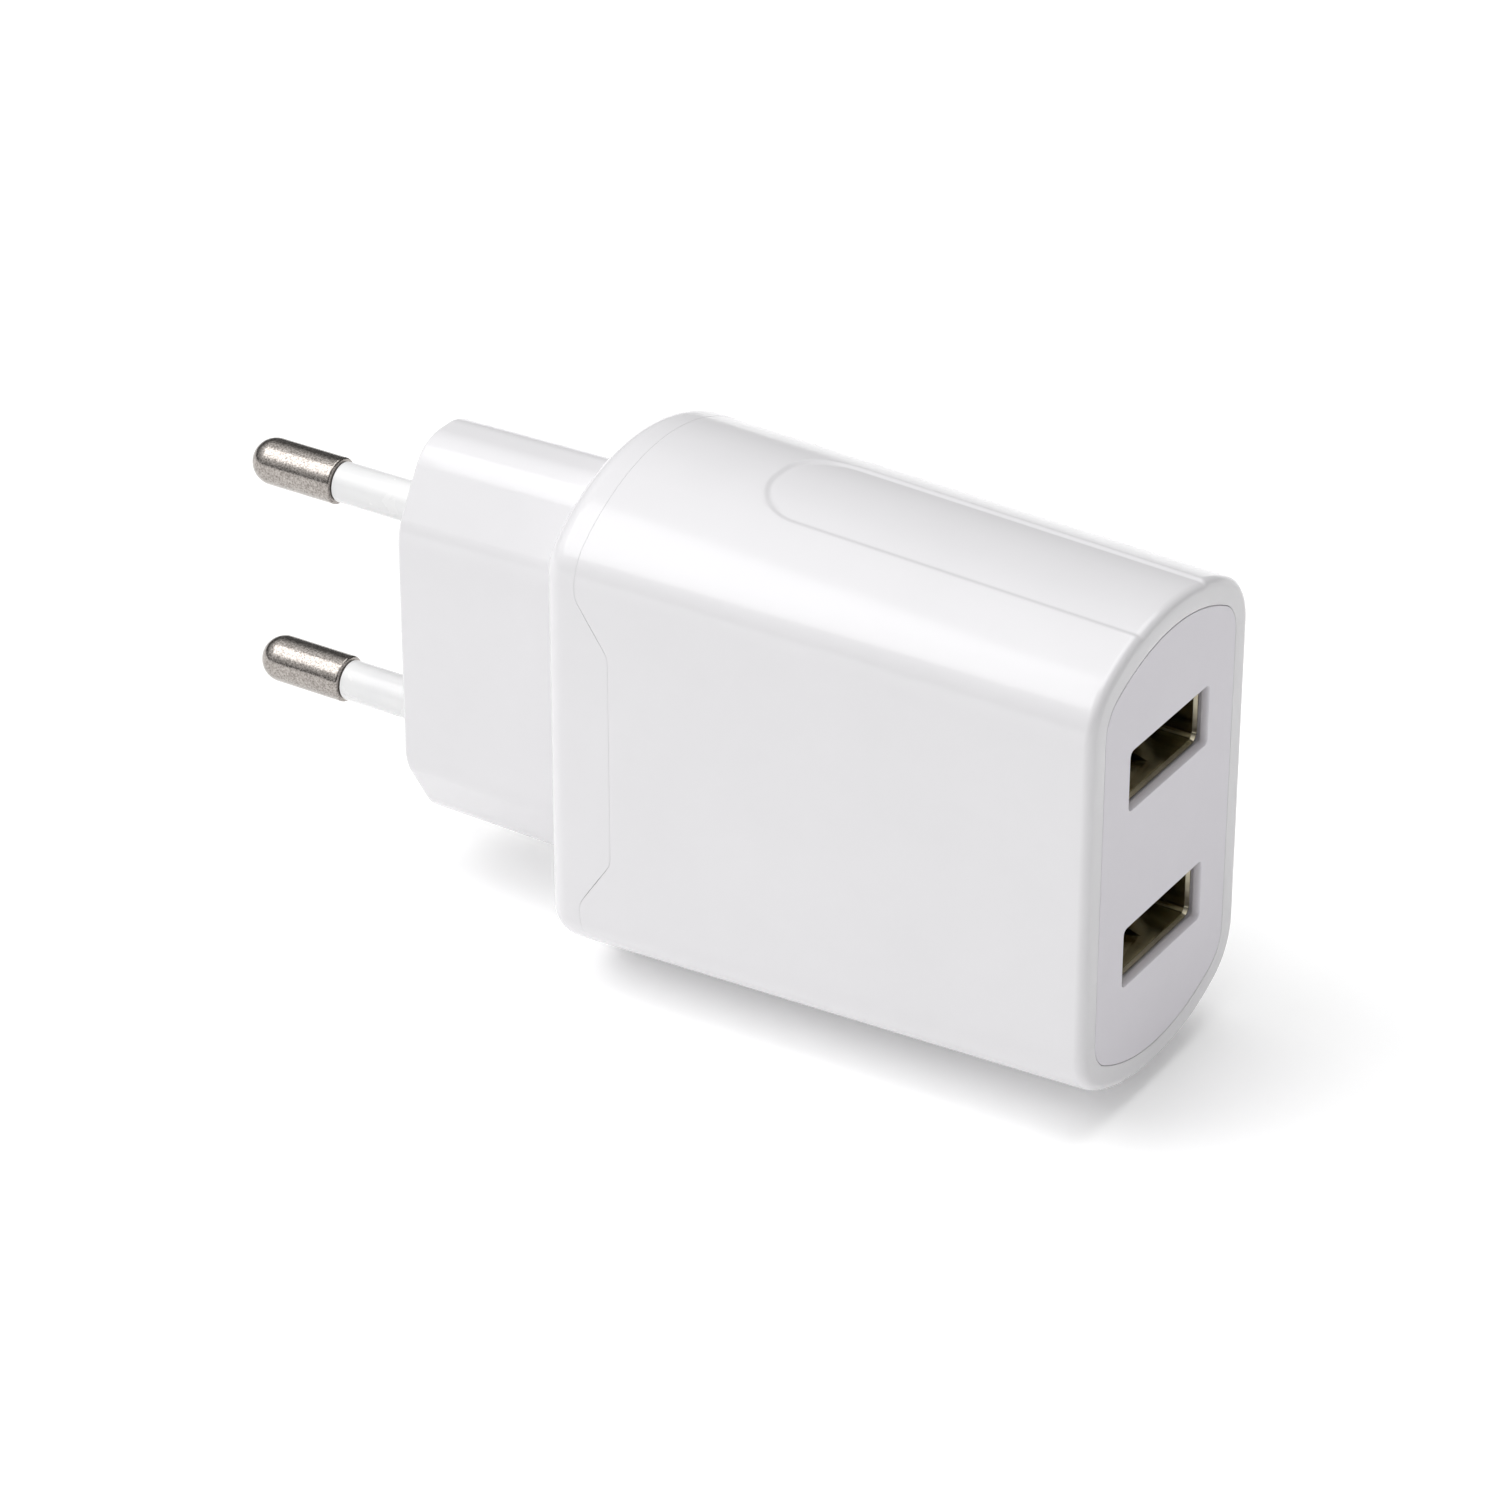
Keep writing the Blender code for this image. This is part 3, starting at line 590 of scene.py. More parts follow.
def mirrored_section(
    corner: Pair, corner_radius: float, side: Pair, side_radius: float, side_turns: Sequence[float]
) -> Section:
    """A section with four like quarters: half a broad flat, a corner and half a narrow side each.

    Args:
        corner: the corner arc's centre, where y and z are positive.
        corner_radius: its radius.
        side: the centre of the arc across the narrow side.
        side_radius: its radius.
        side_turns: the angles of the points on that arc, from where it meets the corner.

    Returns:
        The closed section, in order.
    """
    face = corner[0] + corner_radius
    quarter = [EdgePoint(face, corner[1] * share, 1.0, 0.0) for share in FLAT_SHARES]
    for turn in steps(0.0, side_turns[0], CORNER_STEPS)[:-1]:
        c, s = math.cos(turn), math.sin(turn)
        quarter.append(
            EdgePoint(corner[0] + corner_radius * c, corner[1] + corner_radius * s, c, s)
        )
    for turn in side_turns:
        c, s = math.cos(turn), math.sin(turn)
        quarter.append(EdgePoint(side[0] + side_radius * c, side[1] + side_radius * s, c, s))
    back = quarter[::-1]
    whole = quarter + [p.flipped(-1, 1) for p in back]
    whole += [p.flipped(-1, -1) for p in quarter] + [p.flipped(1, -1) for p in back]
    return whole


Inset = float | Callable[[EdgePoint], float]


def ring_at(section: Section, x: float, inset: Inset = 0.0) -> Ring:
    """Place a section at x, drawn in along its normals.

    Args:
        section: the section's points.
        x: the ring's place.
        inset: how far it is drawn in, or a function that says so for each point.

    Returns:
        The ring's points.
    """
    ring: Ring = []
    for p in section:
        depth = inset(p) if callable(inset) else inset
        ring.append((x, p.y - p.normal_y * depth, p.z - p.normal_z * depth))
    return ring


@dataclass(frozen=True)
class CaseForm:
    """The tapering case: sizes at its plug end and at its USB end, which change evenly between."""

    face_x: float
    length: float = 48.45 * MM
    half_thickness: Pair = (13.55 * MM, 12.35 * MM)
    half_width: Pair = (22.4 * MM, 20.55 * MM)
    side_radius: Pair = (18.4 * MM, 19.8 * MM)
    corner_radius: Pair = (4.1 * MM, 5.4 * MM)
    grip_edge: float = 5.1 * MM
    grip_band: float = 0.55 * MM

    @property
    def start_x(self) -> float:
        """Where the case begins behind the plug block."""
        return self.face_x - self.length

    def section(self, x: float) -> Section:
        """The case's section.

        Args:
            x: place along the case.

        Returns:
            The section's points.
        """
        share = (x - self.start_x) / self.length
        half, width, radius, corner_radius = (
            low + (high - low) * share
            for low, high in (
                self.half_thickness, self.half_width, self.side_radius, self.corner_radius
            )
        )
        middle = width - radius
        across = half - corner_radius
        rise = math.sqrt((radius - corner_radius) ** 2 - across**2)
        meet = across * radius / (radius - corner_radius)
        low, high = self.grip_edge - self.grip_band, self.grip_edge + self.grip_band
        to_grip, over_edge, to_middle = SIDE_STEPS
        places = steps(meet, high, to_grip)[:-1] + steps(high, low, over_edge)[:-1]
        places += steps(low, low * MIDDLE_SHARE, to_middle)
        turns = [math.acos(y / radius) for y in places]
        corner = (across, middle + rise)
        return mirrored_section(corner, corner_radius, (0.0, middle), radius, turns)


@dataclass(frozen=True)
class PlugForm:
    """The plug block: flat broad sides, slanting flanks, round narrow ends and a slight draft."""

    depth: float
    half_thickness: float = 6.9 * MM
    half_width: float = 17.3 * MM
    draft: float = 0.35 * MM
    corner_radius: float = 4.9 * MM
    end_radius: float = 4.0 * MM
    corner_height: float = 9.37 * MM
    end_offset: float = 0.66 * MM

    def section(self, x: float) -> Section:
        """The block's section.

        Args:
            x: distance from the plug face.

        Returns:
            The section's points, as many as the case's section has.
        """
        grown = self.draft * x / self.depth
        corner = (self.half_thickness - self.corner_radius, self.corner_height + grown)
        end = (self.end_offset, self.half_width - self.end_radius + grown)
        run = (end[0] - corner[0], end[1] - corner[1])
        lean = math.acos((self.corner_radius - self.end_radius) / math.hypot(*run))
        turn = math.atan2(run[1], run[0]) - lean
        turns = steps(turn, math.pi / 2, SIDE_COUNT - 1)
        return mirrored_section(corner, self.corner_radius, end, self.end_radius, turns)


# --- Case ---


@dataclass(frozen=True)
class SeamLine:
    """The joint between cap and sleeve, which steps towards the USB end across each broad side."""

    x: float
    step: float = 2.95 * MM
    step_from: float = 13.8 * MM
    step_to: float = 9.4 * MM
    bend: float = 0.5 * MM
    joint: float = 0.002 * MM
    open_joint: float = 0.018 * MM
    edge: float = 0.012 * MM
    edge_steps: int = 3

    def share(self, point: EdgePoint) -> float:
        """How far along the step the seam is at a point, below 0 and above 1 outside it."""
        return (self.step_from - abs(point.z)) / (self.step_from - self.step_to)

    def half_gap(self, point: EdgePoint) -> float:
        """Half the joint's width: it opens slightly where the seam runs across the case's length.

        Args:
            point: the section's point.

        Returns:
            The distance from the seam to either part.
        """
        if not point.on_broad_side:
            return self.joint
        share = max(0.0, min(1.0, self.share(point)))
        return self.joint + (self.open_joint - self.joint) * 4 * share * (1 - share)

    def at(self, point: EdgePoint) -> float:
        """Where the seam crosses the case at a point of its section.

        Args:
            point: the section's point.

        Returns:
            The seam's x there.
        """
        if not point.on_broad_side:
            return self.x
        soft = self.bend / (self.step_from - self.step_to)
        return self.x + self.step * self.clamped(self.share(point), soft)

    @staticmethod
    def clamped(share: float, soft: float) -> float:
        """Clamp a share to 0 and 1 with rounded corners.

        Args:
            share: the share to clamp.
            soft: how wide the rounding is.

        Returns:
            The clamped share.
        """

        def rounded(value: float) -> float:
            """A ramp that starts at 0 with a rounded foot."""
            if value <= -soft:
                return 0.0
            if value >= soft:
                return value
            return (value + soft) ** 2 / (4 * soft)

        return rounded(share) - rounded(share - 1.0)


@dataclass
class HousingSleeve:
    """The case's sleeve: a glossy tapering tube with an inward rim and two shallow grips.

    fine_rows says where the closely set rows round a grip's end lie, from the grip's start, and
    coarse_rows where the wider ones end before them and go on after them. row_counts gives the steps
    before, within and after the fine rows.
    """

    form: CaseForm
    seam: SeamLine
    wall: float = 1.6 * MM
    rim_width: float = 2.15 * MM
    rim_depth: float = 1.6 * MM
    rim_edge: float = 0.10 * MM
    end_fillet: float = 0.8 * MM
    grip_start: float = 32.0 * MM
    grip_corner: float = 4.3 * MM
    grip_depth: float = 0.18 * MM
    grip_wall: float = 0.55 * MM
    after_seam: float = 0.8 * MM
    coarse_rows: Pair = (-0.6 * MM, 6.0 * MM)
    fine_rows: Pair = (-0.4 * MM, 5.2 * MM)
    row_counts: tuple[int, int, int] = (4, 56, 9)
    fillet_steps: int = 7
    rim_steps: int = 3

    def grip(self, x: float, point: EdgePoint) -> float:
        """How deep the grip is at a point of the narrow side.

        Args:
            x: place along the case.
            point: the section's point.

        Returns:
            The depth below the case's outer surface.
        """
        if not point.on_narrow_side:
            return 0.0
        to_side = abs(point.y) - self.form.grip_edge
        to_end = self.grip_start - x
        inner_side = to_side + self.grip_corner
        inner_end = to_end + self.grip_corner
        outside = math.hypot(max(inner_side, 0.0), max(inner_end, 0.0))
        distance = min(max(inner_side, inner_end), 0.0) + outside - self.grip_corner
        return self.grip_depth * ease(0.5 - distance / self.grip_wall)

    def outer_rows(self) -> list[Ring]:
        """Rows of the outer skin from the seam to the rim."""
        form, seam = self.form, self.seam
        edge = edge_round(seam.edge, seam.edge_steps)
        rows = [self.seam_row(1, shift, inset) for shift, inset in edge]
        before, after = (self.grip_start + reach for reach in self.coarse_rows)
        first, last = (self.grip_start + reach for reach in self.fine_rows)
        to_grip, at_grip, to_end = self.row_counts
        places = steps(seam.x + seam.step + self.after_seam, before, to_grip)
        places += steps(first, last, at_grip)
        places += steps(after, form.face_x - self.end_fillet, to_end)
        rows += [self.grip_row(x, 0.0) for x in places]
        for back, drawn in edge_round(self.end_fillet, self.fillet_steps)[1:]:
            rows.append(self.grip_row(form.face_x - back, drawn))
        return rows

    def grip_row(self, x: float, drawn: float) -> Ring:
        """A row of the outer skin, with the grips let in.

        Args:
            x: place along the case.
            drawn: how far the round at the USB end has drawn it in, which fades the grips out.

        Returns:
            The row's points.
        """
        fade = 1 - drawn / self.end_fillet
        return ring_at(self.form.section(x), x, lambda point: drawn + self.grip(x, point) * fade)

    def seam_row(self, way: int, shift: float, inset: float) -> Ring:
        """A row that follows the stepped seam on one side of the joint.

        Args:
            way: 1 on the sleeve's side and -1 on the cap's.
            shift: how far it lies from the edge of the joint.
            inset: how far it is drawn in.

        Returns:
            The row's points.
        """
        base = self.form.section(self.seam.x)
        places = [self.seam.at(p) + way * (self.seam.half_gap(p) + shift) for p in base]
        sections = {x: self.form.section(x) for x in set(places)}
        return [
            (x, p.y - p.normal_y * inset, p.z - p.normal_z * inset)
            for p, x in ((sections[x][i], x) for i, x in enumerate(places))
        ]

    def build(self) -> None:
        """Build the sleeve: its outer skin, the rim round the face plate and its inner wall."""
        form = self.form
        ledge = form.face_x - self.rim_depth
        face = form.section(form.face_x)
        rows = self.outer_rows()
        for drawn, back in edge_round(self.rim_edge, self.rim_steps):
            rows.append(ring_at(face, form.face_x - back, self.rim_width - drawn))
        rows.append(ring_at(form.section(ledge), ledge, self.rim_width))
        rows.append(ring_at(form.section(ledge), ledge, self.wall))
        rows.append(self.seam_row(1, 0.0, self.wall))
        sleeve = skinned("case_sleeve", rows, loop=True)
        finish_piece(sleeve, CASE_WHITE, ["housing_sleeve"])


@dataclass
class PlugCap:
    """The plug block and the end of the case, one moulding with a spigot that enters the sleeve."""

    form: CaseForm
    plug: PlugForm
    sleeve: HousingSleeve
    wall: float = 2.0 * MM
    front_wall: float = 5.0 * MM
    front_edge: float = 0.35 * MM
    end_fillet: float = 2.0 * MM
    root: float = 0.25 * MM
    spigot_gap: float = 0.3 * MM
    spigot_wall: float = 1.2 * MM
    dip: float = 0.006 * MM
    pin_gap: float = 0.06 * MM
    front_steps: int = 5
    draft_rows: int = 6
    root_steps: int = 3
    fillet_steps: int = 14

    def block_rows(self) -> list[Ring]:
        """Rows of the plug block from its face to its root."""
        depth = self.plug.depth
        places = edge_round(self.front_edge, self.front_steps)[::-1]
        drafted = steps(self.front_edge, depth - self.root, self.draft_rows)[1:]
        places += [(x, 0.0) for x in drafted]
        flare = edge_round(self.root, self.root_steps)[1:]
        places += [(depth - back, -grown) for back, grown in flare]
        return [ring_at(self.plug.section(x), x, inset) for x, inset in places]

    def case_rows(self) -> list[Ring]:
        """Rows of the case's end from the block's root to the seam."""
        form, seam = self.form, self.sleeve.seam
        rows = []
        for back, inset in edge_round(self.end_fillet, self.fillet_steps)[::-1]:
            x = form.start_x + back
            rows.append(ring_at(form.section(x), x, inset))
        for shift, inset in edge_round(seam.edge, seam.edge_steps)[::-1]:
            rows.append(self.sleeve.seam_row(-1, shift, inset + self.dip))
        return rows

    def inner_rows(self) -> list[Ring]:
        """Rows of the spigot and of the hollow in the plug block."""
        form = self.form
        seat = self.sleeve.wall + self.spigot_gap
        inner = seat + self.spigot_wall
        spigot_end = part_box("plug_cap")[1].x
        back_wall = form.start_x + self.wall
        rows = [self.sleeve.seam_row(-1, 0.0, seat)]
        for x, inset in ((spigot_end, seat), (spigot_end, inner), (back_wall, inner)):
            rows.append(ring_at(form.section(x), x, inset))
        for x in (back_wall, self.front_wall):
            rows.append(ring_at(self.plug.section(x), x, self.wall))
        return rows

    def build(self) -> None:
        """Build the cap, with a hole for each pin."""
        cap = skinned("plug_and_cap", self.block_rows() + self.case_rows() + self.inner_rows())
        for side in Side:
            box = RoundBox("pin_sleeve_" + side.word)
            radius = box.radius + self.pin_gap
            profile = [(-OVERSHOOT, radius), (self.front_wall + OVERSHOOT, radius)]
            cut(cap, turned("pin_hole_" + side.word, profile, box.centre))
        finish_piece(cap, CASE_WHITE, ["plug_cap"])


@dataclass
class FacePlate:
    """The flush plate inside the rim, with a soft-edged window for each socket."""

    form: CaseForm
    sleeve: HousingSleeve
    sockets: Sequence["UsbSocket"]
    joint: float = 0.03 * MM
    edge: float = 0.08 * MM
    depth: float = 3.5 * MM
    flange_gap: float = 0.3 * MM
    window_half: Pair = (6.14 * MM, 2.54 * MM)
    window_corner: float = 0.40 * MM
    window_lip: float = 0.62 * MM
    window_lead: Pair = (0.50 * MM, 0.14 * MM)
    pocket_gap: float = 0.12 * MM
    pocket_corner: float = 0.9 * MM
    lead_past: float = 0.2 * MM
    edge_steps: int = 4
    lead_steps: int = 7
    sharp_deg: float = 40.0

    def base(self) -> bpy.types.Object:
        """The plate before its windows are cut."""
        form, sleeve = self.form, self.sleeve
        ledge = form.face_x - sleeve.rim_depth - self.joint
        outer = sleeve.rim_width + self.joint
        flange = sleeve.wall + self.flange_gap
        rows = [ring_at(form.section(x), x, flange) for x in (form.face_x - self.depth, ledge)]
        rows.append(ring_at(form.section(ledge), ledge, outer))
        for back, inset in edge_round(self.edge, self.edge_steps):
            x = form.face_x - back
            rows.append(ring_at(form.section(x), x, outer + inset))
        return skinned("face_plate", rows)

    def window(self, socket: "UsbSocket") -> bpy.types.Object:
        """The cutter of one window, with its rounded edge and the pocket behind it.

        Args:
            socket: the socket that the window opens on.

        Returns:
            The cutter.
        """
        face = self.form.face_x
        centre = (0.0, socket.centre_z)
        pocket = rounded_box_outline(socket.shell_half(self.pocket_gap), centre, self.pocket_corner)
        lip = face - self.window_lip
        rows = [standing(pocket, x) for x in (face - self.depth - OVERSHOOT, lip)]
        lead_deep, lead_wide = self.window_lead
        stations = [(lip, 0.0)]
        for back, grow in edge_round(1.0, self.lead_steps):
            stations.append((face - lead_deep * back, lead_wide * grow))
        stations.append((face + OVERSHOOT, lead_wide + self.lead_past))
        for x, grow in stations:
            outline = rounded_box_outline(self.window_half, centre, self.window_corner, grow)
            rows.append(standing(outline, x))
        return skinned("window_" + socket.side.word, rows)

    def build(self) -> None:
        """Build the plate, with a window for each socket."""
        plate = self.base()
        for socket in self.sockets:
            cut(plate, self.window(socket))
        finish_piece(plate, FACE_WHITE, ["usb_face_plate"], self.sharp_deg)


# --- Pins ---


@dataclass
class Pin:
    """A turned brass pin with a round nose, and the insulating sleeve next to the plug face.

    The metal thins to its core under the sleeve, and a collar behind that holds it in the block.
    """

    side: Side
    metal_length: float = 8.65 * MM
    lip: float = 0.22 * MM
    nose_flat: float = 0.04 * MM
    core_radius: float = 1.2 * MM
    collar_x: float = 5.3 * MM
    collar_length: float = 1.2 * MM
    tail_chamfer: float = 0.4 * MM
    joint: float = 0.06 * MM
    packed_joint: float = 0.15 * MM
    sleeve_edge: float = 0.18 * MM
    inside_rows: Pair = (-0.6 * MM, 0.3 * MM)
    segments: int = 72
    nose_steps: int = 16
    edge_steps: int = 4
    sharp_deg: float = 50.0

    def metal(self) -> None:
        """The pin's metal, from its nose to its tail inside the plug block."""
        node = "pin_" + self.side.word
        box = RoundBox(node)
        radius, core = box.radius, self.core_radius
        end = box.start + self.metal_length
        collar, tail = self.collar_x, self.tail_chamfer
        profile = [(box.start, self.nose_flat)]
        for turn in steps(0.0, math.pi / 2, self.nose_steps)[1:]:
            profile.append((box.start + radius * (1 - math.cos(turn)), radius * math.sin(turn)))
        lip = edge_round(self.lip, self.edge_steps)
        profile += [(end - back, radius - drawn) for back, drawn in lip]
        profile += [(end, core), (collar, core), (collar, radius)]
        profile += [(collar + self.collar_length, radius), (collar + self.collar_length, core)]
        profile += [(box.end - tail, core), (box.end, core - tail)]
        pin = turned("pin_metal_" + self.side.word, profile, box.centre, self.segments)
        finish_piece(pin, PIN_NICKEL, [node], self.sharp_deg)

    def sleeve(self) -> None:
        """The insulating sleeve, with a softened front edge."""
        node = "pin_sleeve_" + self.side.word
        box = RoundBox(node)
        bore = self.core_radius + self.joint
        front = box.start - self.packed_joint + self.joint
        profile = [(front, bore)]
        for back, drawn in edge_round(self.sleeve_edge, self.edge_steps)[::-1]:
            profile.append((front + back, box.radius - drawn))
        profile += [(x, box.radius) for x in (*self.inside_rows, box.end)]
        profile.append((box.end, bore))
        name = "pin_insulation_" + self.side.word
        sleeve = turned(name, profile, box.centre, self.segments, loop=True)
        finish_piece(sleeve, SLEEVE_WHITE, [node], self.sharp_deg)

    def build(self) -> None:
        """Build both pieces."""
        self.metal()
        self.sleeve()


# --- USB sockets ---


# A spring tab from its root near the mouth to its free end: millimetres behind the shell's front,
# and the height that it bows up to from the shell's inner wall.
TAB_PROFILE = (
    (1.2, -0.06),
    (1.35, 0.0),
    (2.75, 0.42),
    (2.95, 0.47),
    (4.1, 0.47),
    (4.3, 0.44),
    (5.9, 0.05),
)
CONTACT_NUMBERS = range(1, 5)


@dataclass(frozen=True)
class ShellLegs:
    """The pins that fasten a socket's shell to the board."""

    from_back: float = 3.0 * MM
    from_front: float = 5.0 * MM
    apart: float = 1.5 * MM
    half: Pair = (0.35 * MM, 0.3 * MM)
    overlap: float = 0.1 * MM
    edge: float = 0.08 * MM


@dataclass(frozen=True)
class Tongue:
    """The insulator's tongue: its section, its pointed tip and the channels for the contacts."""

    half_width: float = 5.55 * MM
    thickness: float = 1.84 * MM
    lift: float = 0.02 * MM
    corner: float = 0.2 * MM
    chamfer: float = 0.45 * MM
    tip_taper: float = 0.4
    overlap: float = 0.8 * MM
    contact_half: float = 0.5 * MM
    channel_half: float = 0.62 * MM
    channel_below: float = 0.05 * MM
    channel_past: float = 0.15 * MM
    channel_above: float = 0.22 * MM
    channel_edge: float = 0.03 * MM


@dataclass
class UsbSocket:
    """A type A receptacle: a folded shell with spring tabs and an insulator with its tongue."""

    side: Side
    sheet: float = 0.3 * MM
    corner: float = 0.6 * MM
    sheet_edge: float = 0.06 * MM
    flare: Pair = (0.30 * MM, 0.14 * MM)
    tab_width: float = 2.7 * MM
    tab_offset: float = 2.45 * MM
    tab_thickness: float = 0.12 * MM
    block_length: float = 3.8 * MM
    block_edge: float = 0.15 * MM
    legs: ShellLegs = ShellLegs()
    tongue: Tongue = Tongue()
    sharp_deg: float = 40.0

    def __post_init__(self) -> None:
        """Read the socket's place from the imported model."""
        self.shell_node = "usb_shell_" + self.side.word
        self.insulator_node = "usb_insulator_" + self.side.word
        shell_low, shell_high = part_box(self.shell_node)
        self.back_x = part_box(self.insulator_node)[0].x
        self.front_x = shell_high.x
        self.leg_end = shell_high.y
        self.centre_z = (shell_low.z + shell_high.z) / 2
        self.half = (-shell_low.y - self.sheet, (shell_high.z - shell_low.z) / 2 - self.sheet)

    def shell_half(self, grow: float) -> Pair:
        """Half width and half height of the shell's outside, grown by a margin."""
        return self.half[0] + self.sheet + grow, self.half[1] + self.sheet + grow

    def shell(self) -> None:
        """The folded steel shell, its board legs and its spring tabs."""
        flare_deep, flare_wide = self.flare
        centre = (0.0, self.centre_z)
        stations = [
            (self.back_x, self.sheet),
            (self.front_x - self.sheet_edge, self.sheet),
            (self.front_x, self.sheet - self.sheet_edge),
            (self.front_x, flare_wide),
            (self.front_x - flare_deep, self.sheet_edge / 2),
            (self.front_x - flare_deep - self.sheet_edge, 0.0),
            (self.back_x, 0.0),
        ]
        rows = [
            standing(rounded_box_outline(self.half, centre, self.corner, grow), x)
            for x, grow in stations
        ]
        shell = skinned("socket_shell_" + self.side.word, rows, loop=True)
        for wall in (1, -1):
            for place in (self.tab_offset, -self.tab_offset):
                cut(shell, self.tab(wall, place), "UNION")
        for x in (self.back_x + self.legs.from_back, self.front_x - self.legs.from_front):
            for z in (-self.legs.apart, self.legs.apart):
                cut(shell, self.leg(x, self.centre_z + z), "UNION")
        finish_piece(shell, SHELL_TIN, [self.shell_node], self.sharp_deg)

    def leg(self, x: float, z: float) -> bpy.types.Object:
        """One leg of the shell, overlapping its wall and reaching through the board.

        Args:
            x: the leg's middle along the charger.
            z: the leg's middle up the charger.

        Returns:
            The leg.
        """
        legs = self.legs
        half_x, half_z = legs.half
        return soft_box(
            "leg",
            (x - half_x, self.half[0] + legs.overlap, z - half_z),
            (x + half_x, self.leg_end, z + half_z),
            legs.edge,
        )

    def tab(self, wall: int, place: float) -> bpy.types.Object:
        """A spring tab, bowed inwards from one wall of the shell.

        Args:
            wall: 1 for the upper wall and -1 for the lower one.
            place: the tab's middle across the socket.

        Returns:
            The tab, overlapping the wall at its root.
        """
        rows = []
        half = self.tab_width / 2
        for back, rise in TAB_PROFILE:
            x = self.front_x - back * MM
            low = self.half[1] - rise * MM
            high = low + self.tab_thickness
            corners = ((-half, low), (half, low), (half, high), (-half, high))
            rows.append([(x, place + y, self.centre_z + wall * z) for y, z in corners])
        return skinned("tab", rows)

    def tongue_blade(self, block_end: float, tip: float) -> bpy.types.Object:
        """The tongue before its channels are cut.

        Args:
            block_end: where the block behind it ends.
            tip: where the tongue ends.

        Returns:
            The tongue, overlapping the block.
        """
        blade = self.tongue
        half = (blade.half_width, blade.thickness / 2)
        centre = (0.0, self.centre_z + blade.lift + blade.thickness / 2)
        rows = []
        for x, drawn in (
            (block_end - blade.overlap, 0.0),
            (tip - blade.chamfer, 0.0),
            (tip, blade.chamfer * blade.tip_taper),
        ):
            rows.append(standing(rounded_box_outline(half, centre, blade.corner, -drawn), x))
        return skinned("tongue", rows)

    def channel(self, number: int) -> bpy.types.Object:
        """The cutter of the channel that a contact lies in.

        Args:
            number: the contact's number.

        Returns:
            The cutter.
        """
        blade = self.tongue
        low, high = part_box(f"usb_contact_{self.side.word}_{number}")
        y = low.y + blade.contact_half
        return soft_box(
            "channel",
            (self.back_x - OVERSHOOT, y - blade.channel_half, low.z - blade.channel_below),
            (high.x + blade.channel_past, y + blade.channel_half, high.z + blade.channel_above),
            blade.channel_edge,
        )

    def insulator(self) -> None:
        """The moulded block at the back and the tongue that carries the contacts."""
        low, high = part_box(self.insulator_node)
        block_end = self.back_x + self.block_length
        name = "socket_insulator_" + self.side.word
        block = soft_box(name, tuple(low), (block_end, high.y, high.z), self.block_edge)
        cut(block, self.tongue_blade(block_end, high.x), "UNION")
        for number in CONTACT_NUMBERS:
            cut(block, self.channel(number))
        node = self.insulator_node
        finish_piece(block, SOCKET_NYLON, [node], self.sharp_deg)

    def build(self) -> None:
        """Build the shell and the insulator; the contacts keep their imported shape."""
        self.shell()
        self.insulator()


# --- Inner pieces ---


@dataclass
class CarriedNodes:
    """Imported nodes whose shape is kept, each with its finish."""

    def finishes(self) -> dict[str, Finish]:
        """The finish of each carried node."""
        found = {
            "main_board": BOARD_MASK,
            "transformer_core_front": CORE_FERRITE,
            "transformer_core_rear": CORE_FERRITE,
            "transformer_bobbin": BOBBIN_PHENOLIC,
            "transformer_winding": WINDING_TAPE,
            "supply_capacitor": CAN_FILM,
            "fusible_resistor": RESISTOR_COAT,
            "input_choke": CORE_FERRITE,
            "safety_capacitor": DISC_EPOXY,
            "bridge_rectifier": CHIP_EPOXY,
            "controller_chip": CHIP_EPOXY,
            "output_rectifier": CHIP_EPOXY,
            "port_controller_chip": CHIP_EPOXY,
        }
        for side in Side:
            found["primary_capacitor_" + side.word] = CAN_FILM
            found["output_capacitor_" + side.word] = CAN_FILM_BLUE
            found["contact_spring_" + side.word] = SPRING_BRONZE
            for number in CONTACT_NUMBERS:
                found[f"usb_contact_{side.word}_{number}"] = CONTACT_GOLD
        return found

    def dress(self) -> None:
        """Give each carried node its material."""
        for name, finish in self.finishes().items():
            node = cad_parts[name]
            node.data.materials.clear()
            node.data.materials.append(finish.material())
            LOG.info("%s keeps its packed shape, %s", name, finish.name)


# --- Studio ---


@dataclass(frozen=True)
class SoftBox:
    """A rectangular studio light: where it stands, what it points at, its size and its power."""

    name: str
    place: Point
    aim: Point
    size: Pair
    power: float

    def build(self) -> None:
        """Add the light."""
        light = bpy.data.lights.new(self.name, "AREA")
        light.shape = "RECTANGLE"
        light.size, light.size_y = self.size
        light.energy = self.power
        lamp = bpy.data.objects.new(self.name, light)
        lamp.location = self.place
        towards = Vector(self.aim) - Vector(self.place)
        lamp.rotation_mode = "QUATERNION"
        lamp.rotation_quaternion = towards.to_track_quat("-Z", "Y")
        bpy.context.scene.collection.objects.link(lamp)


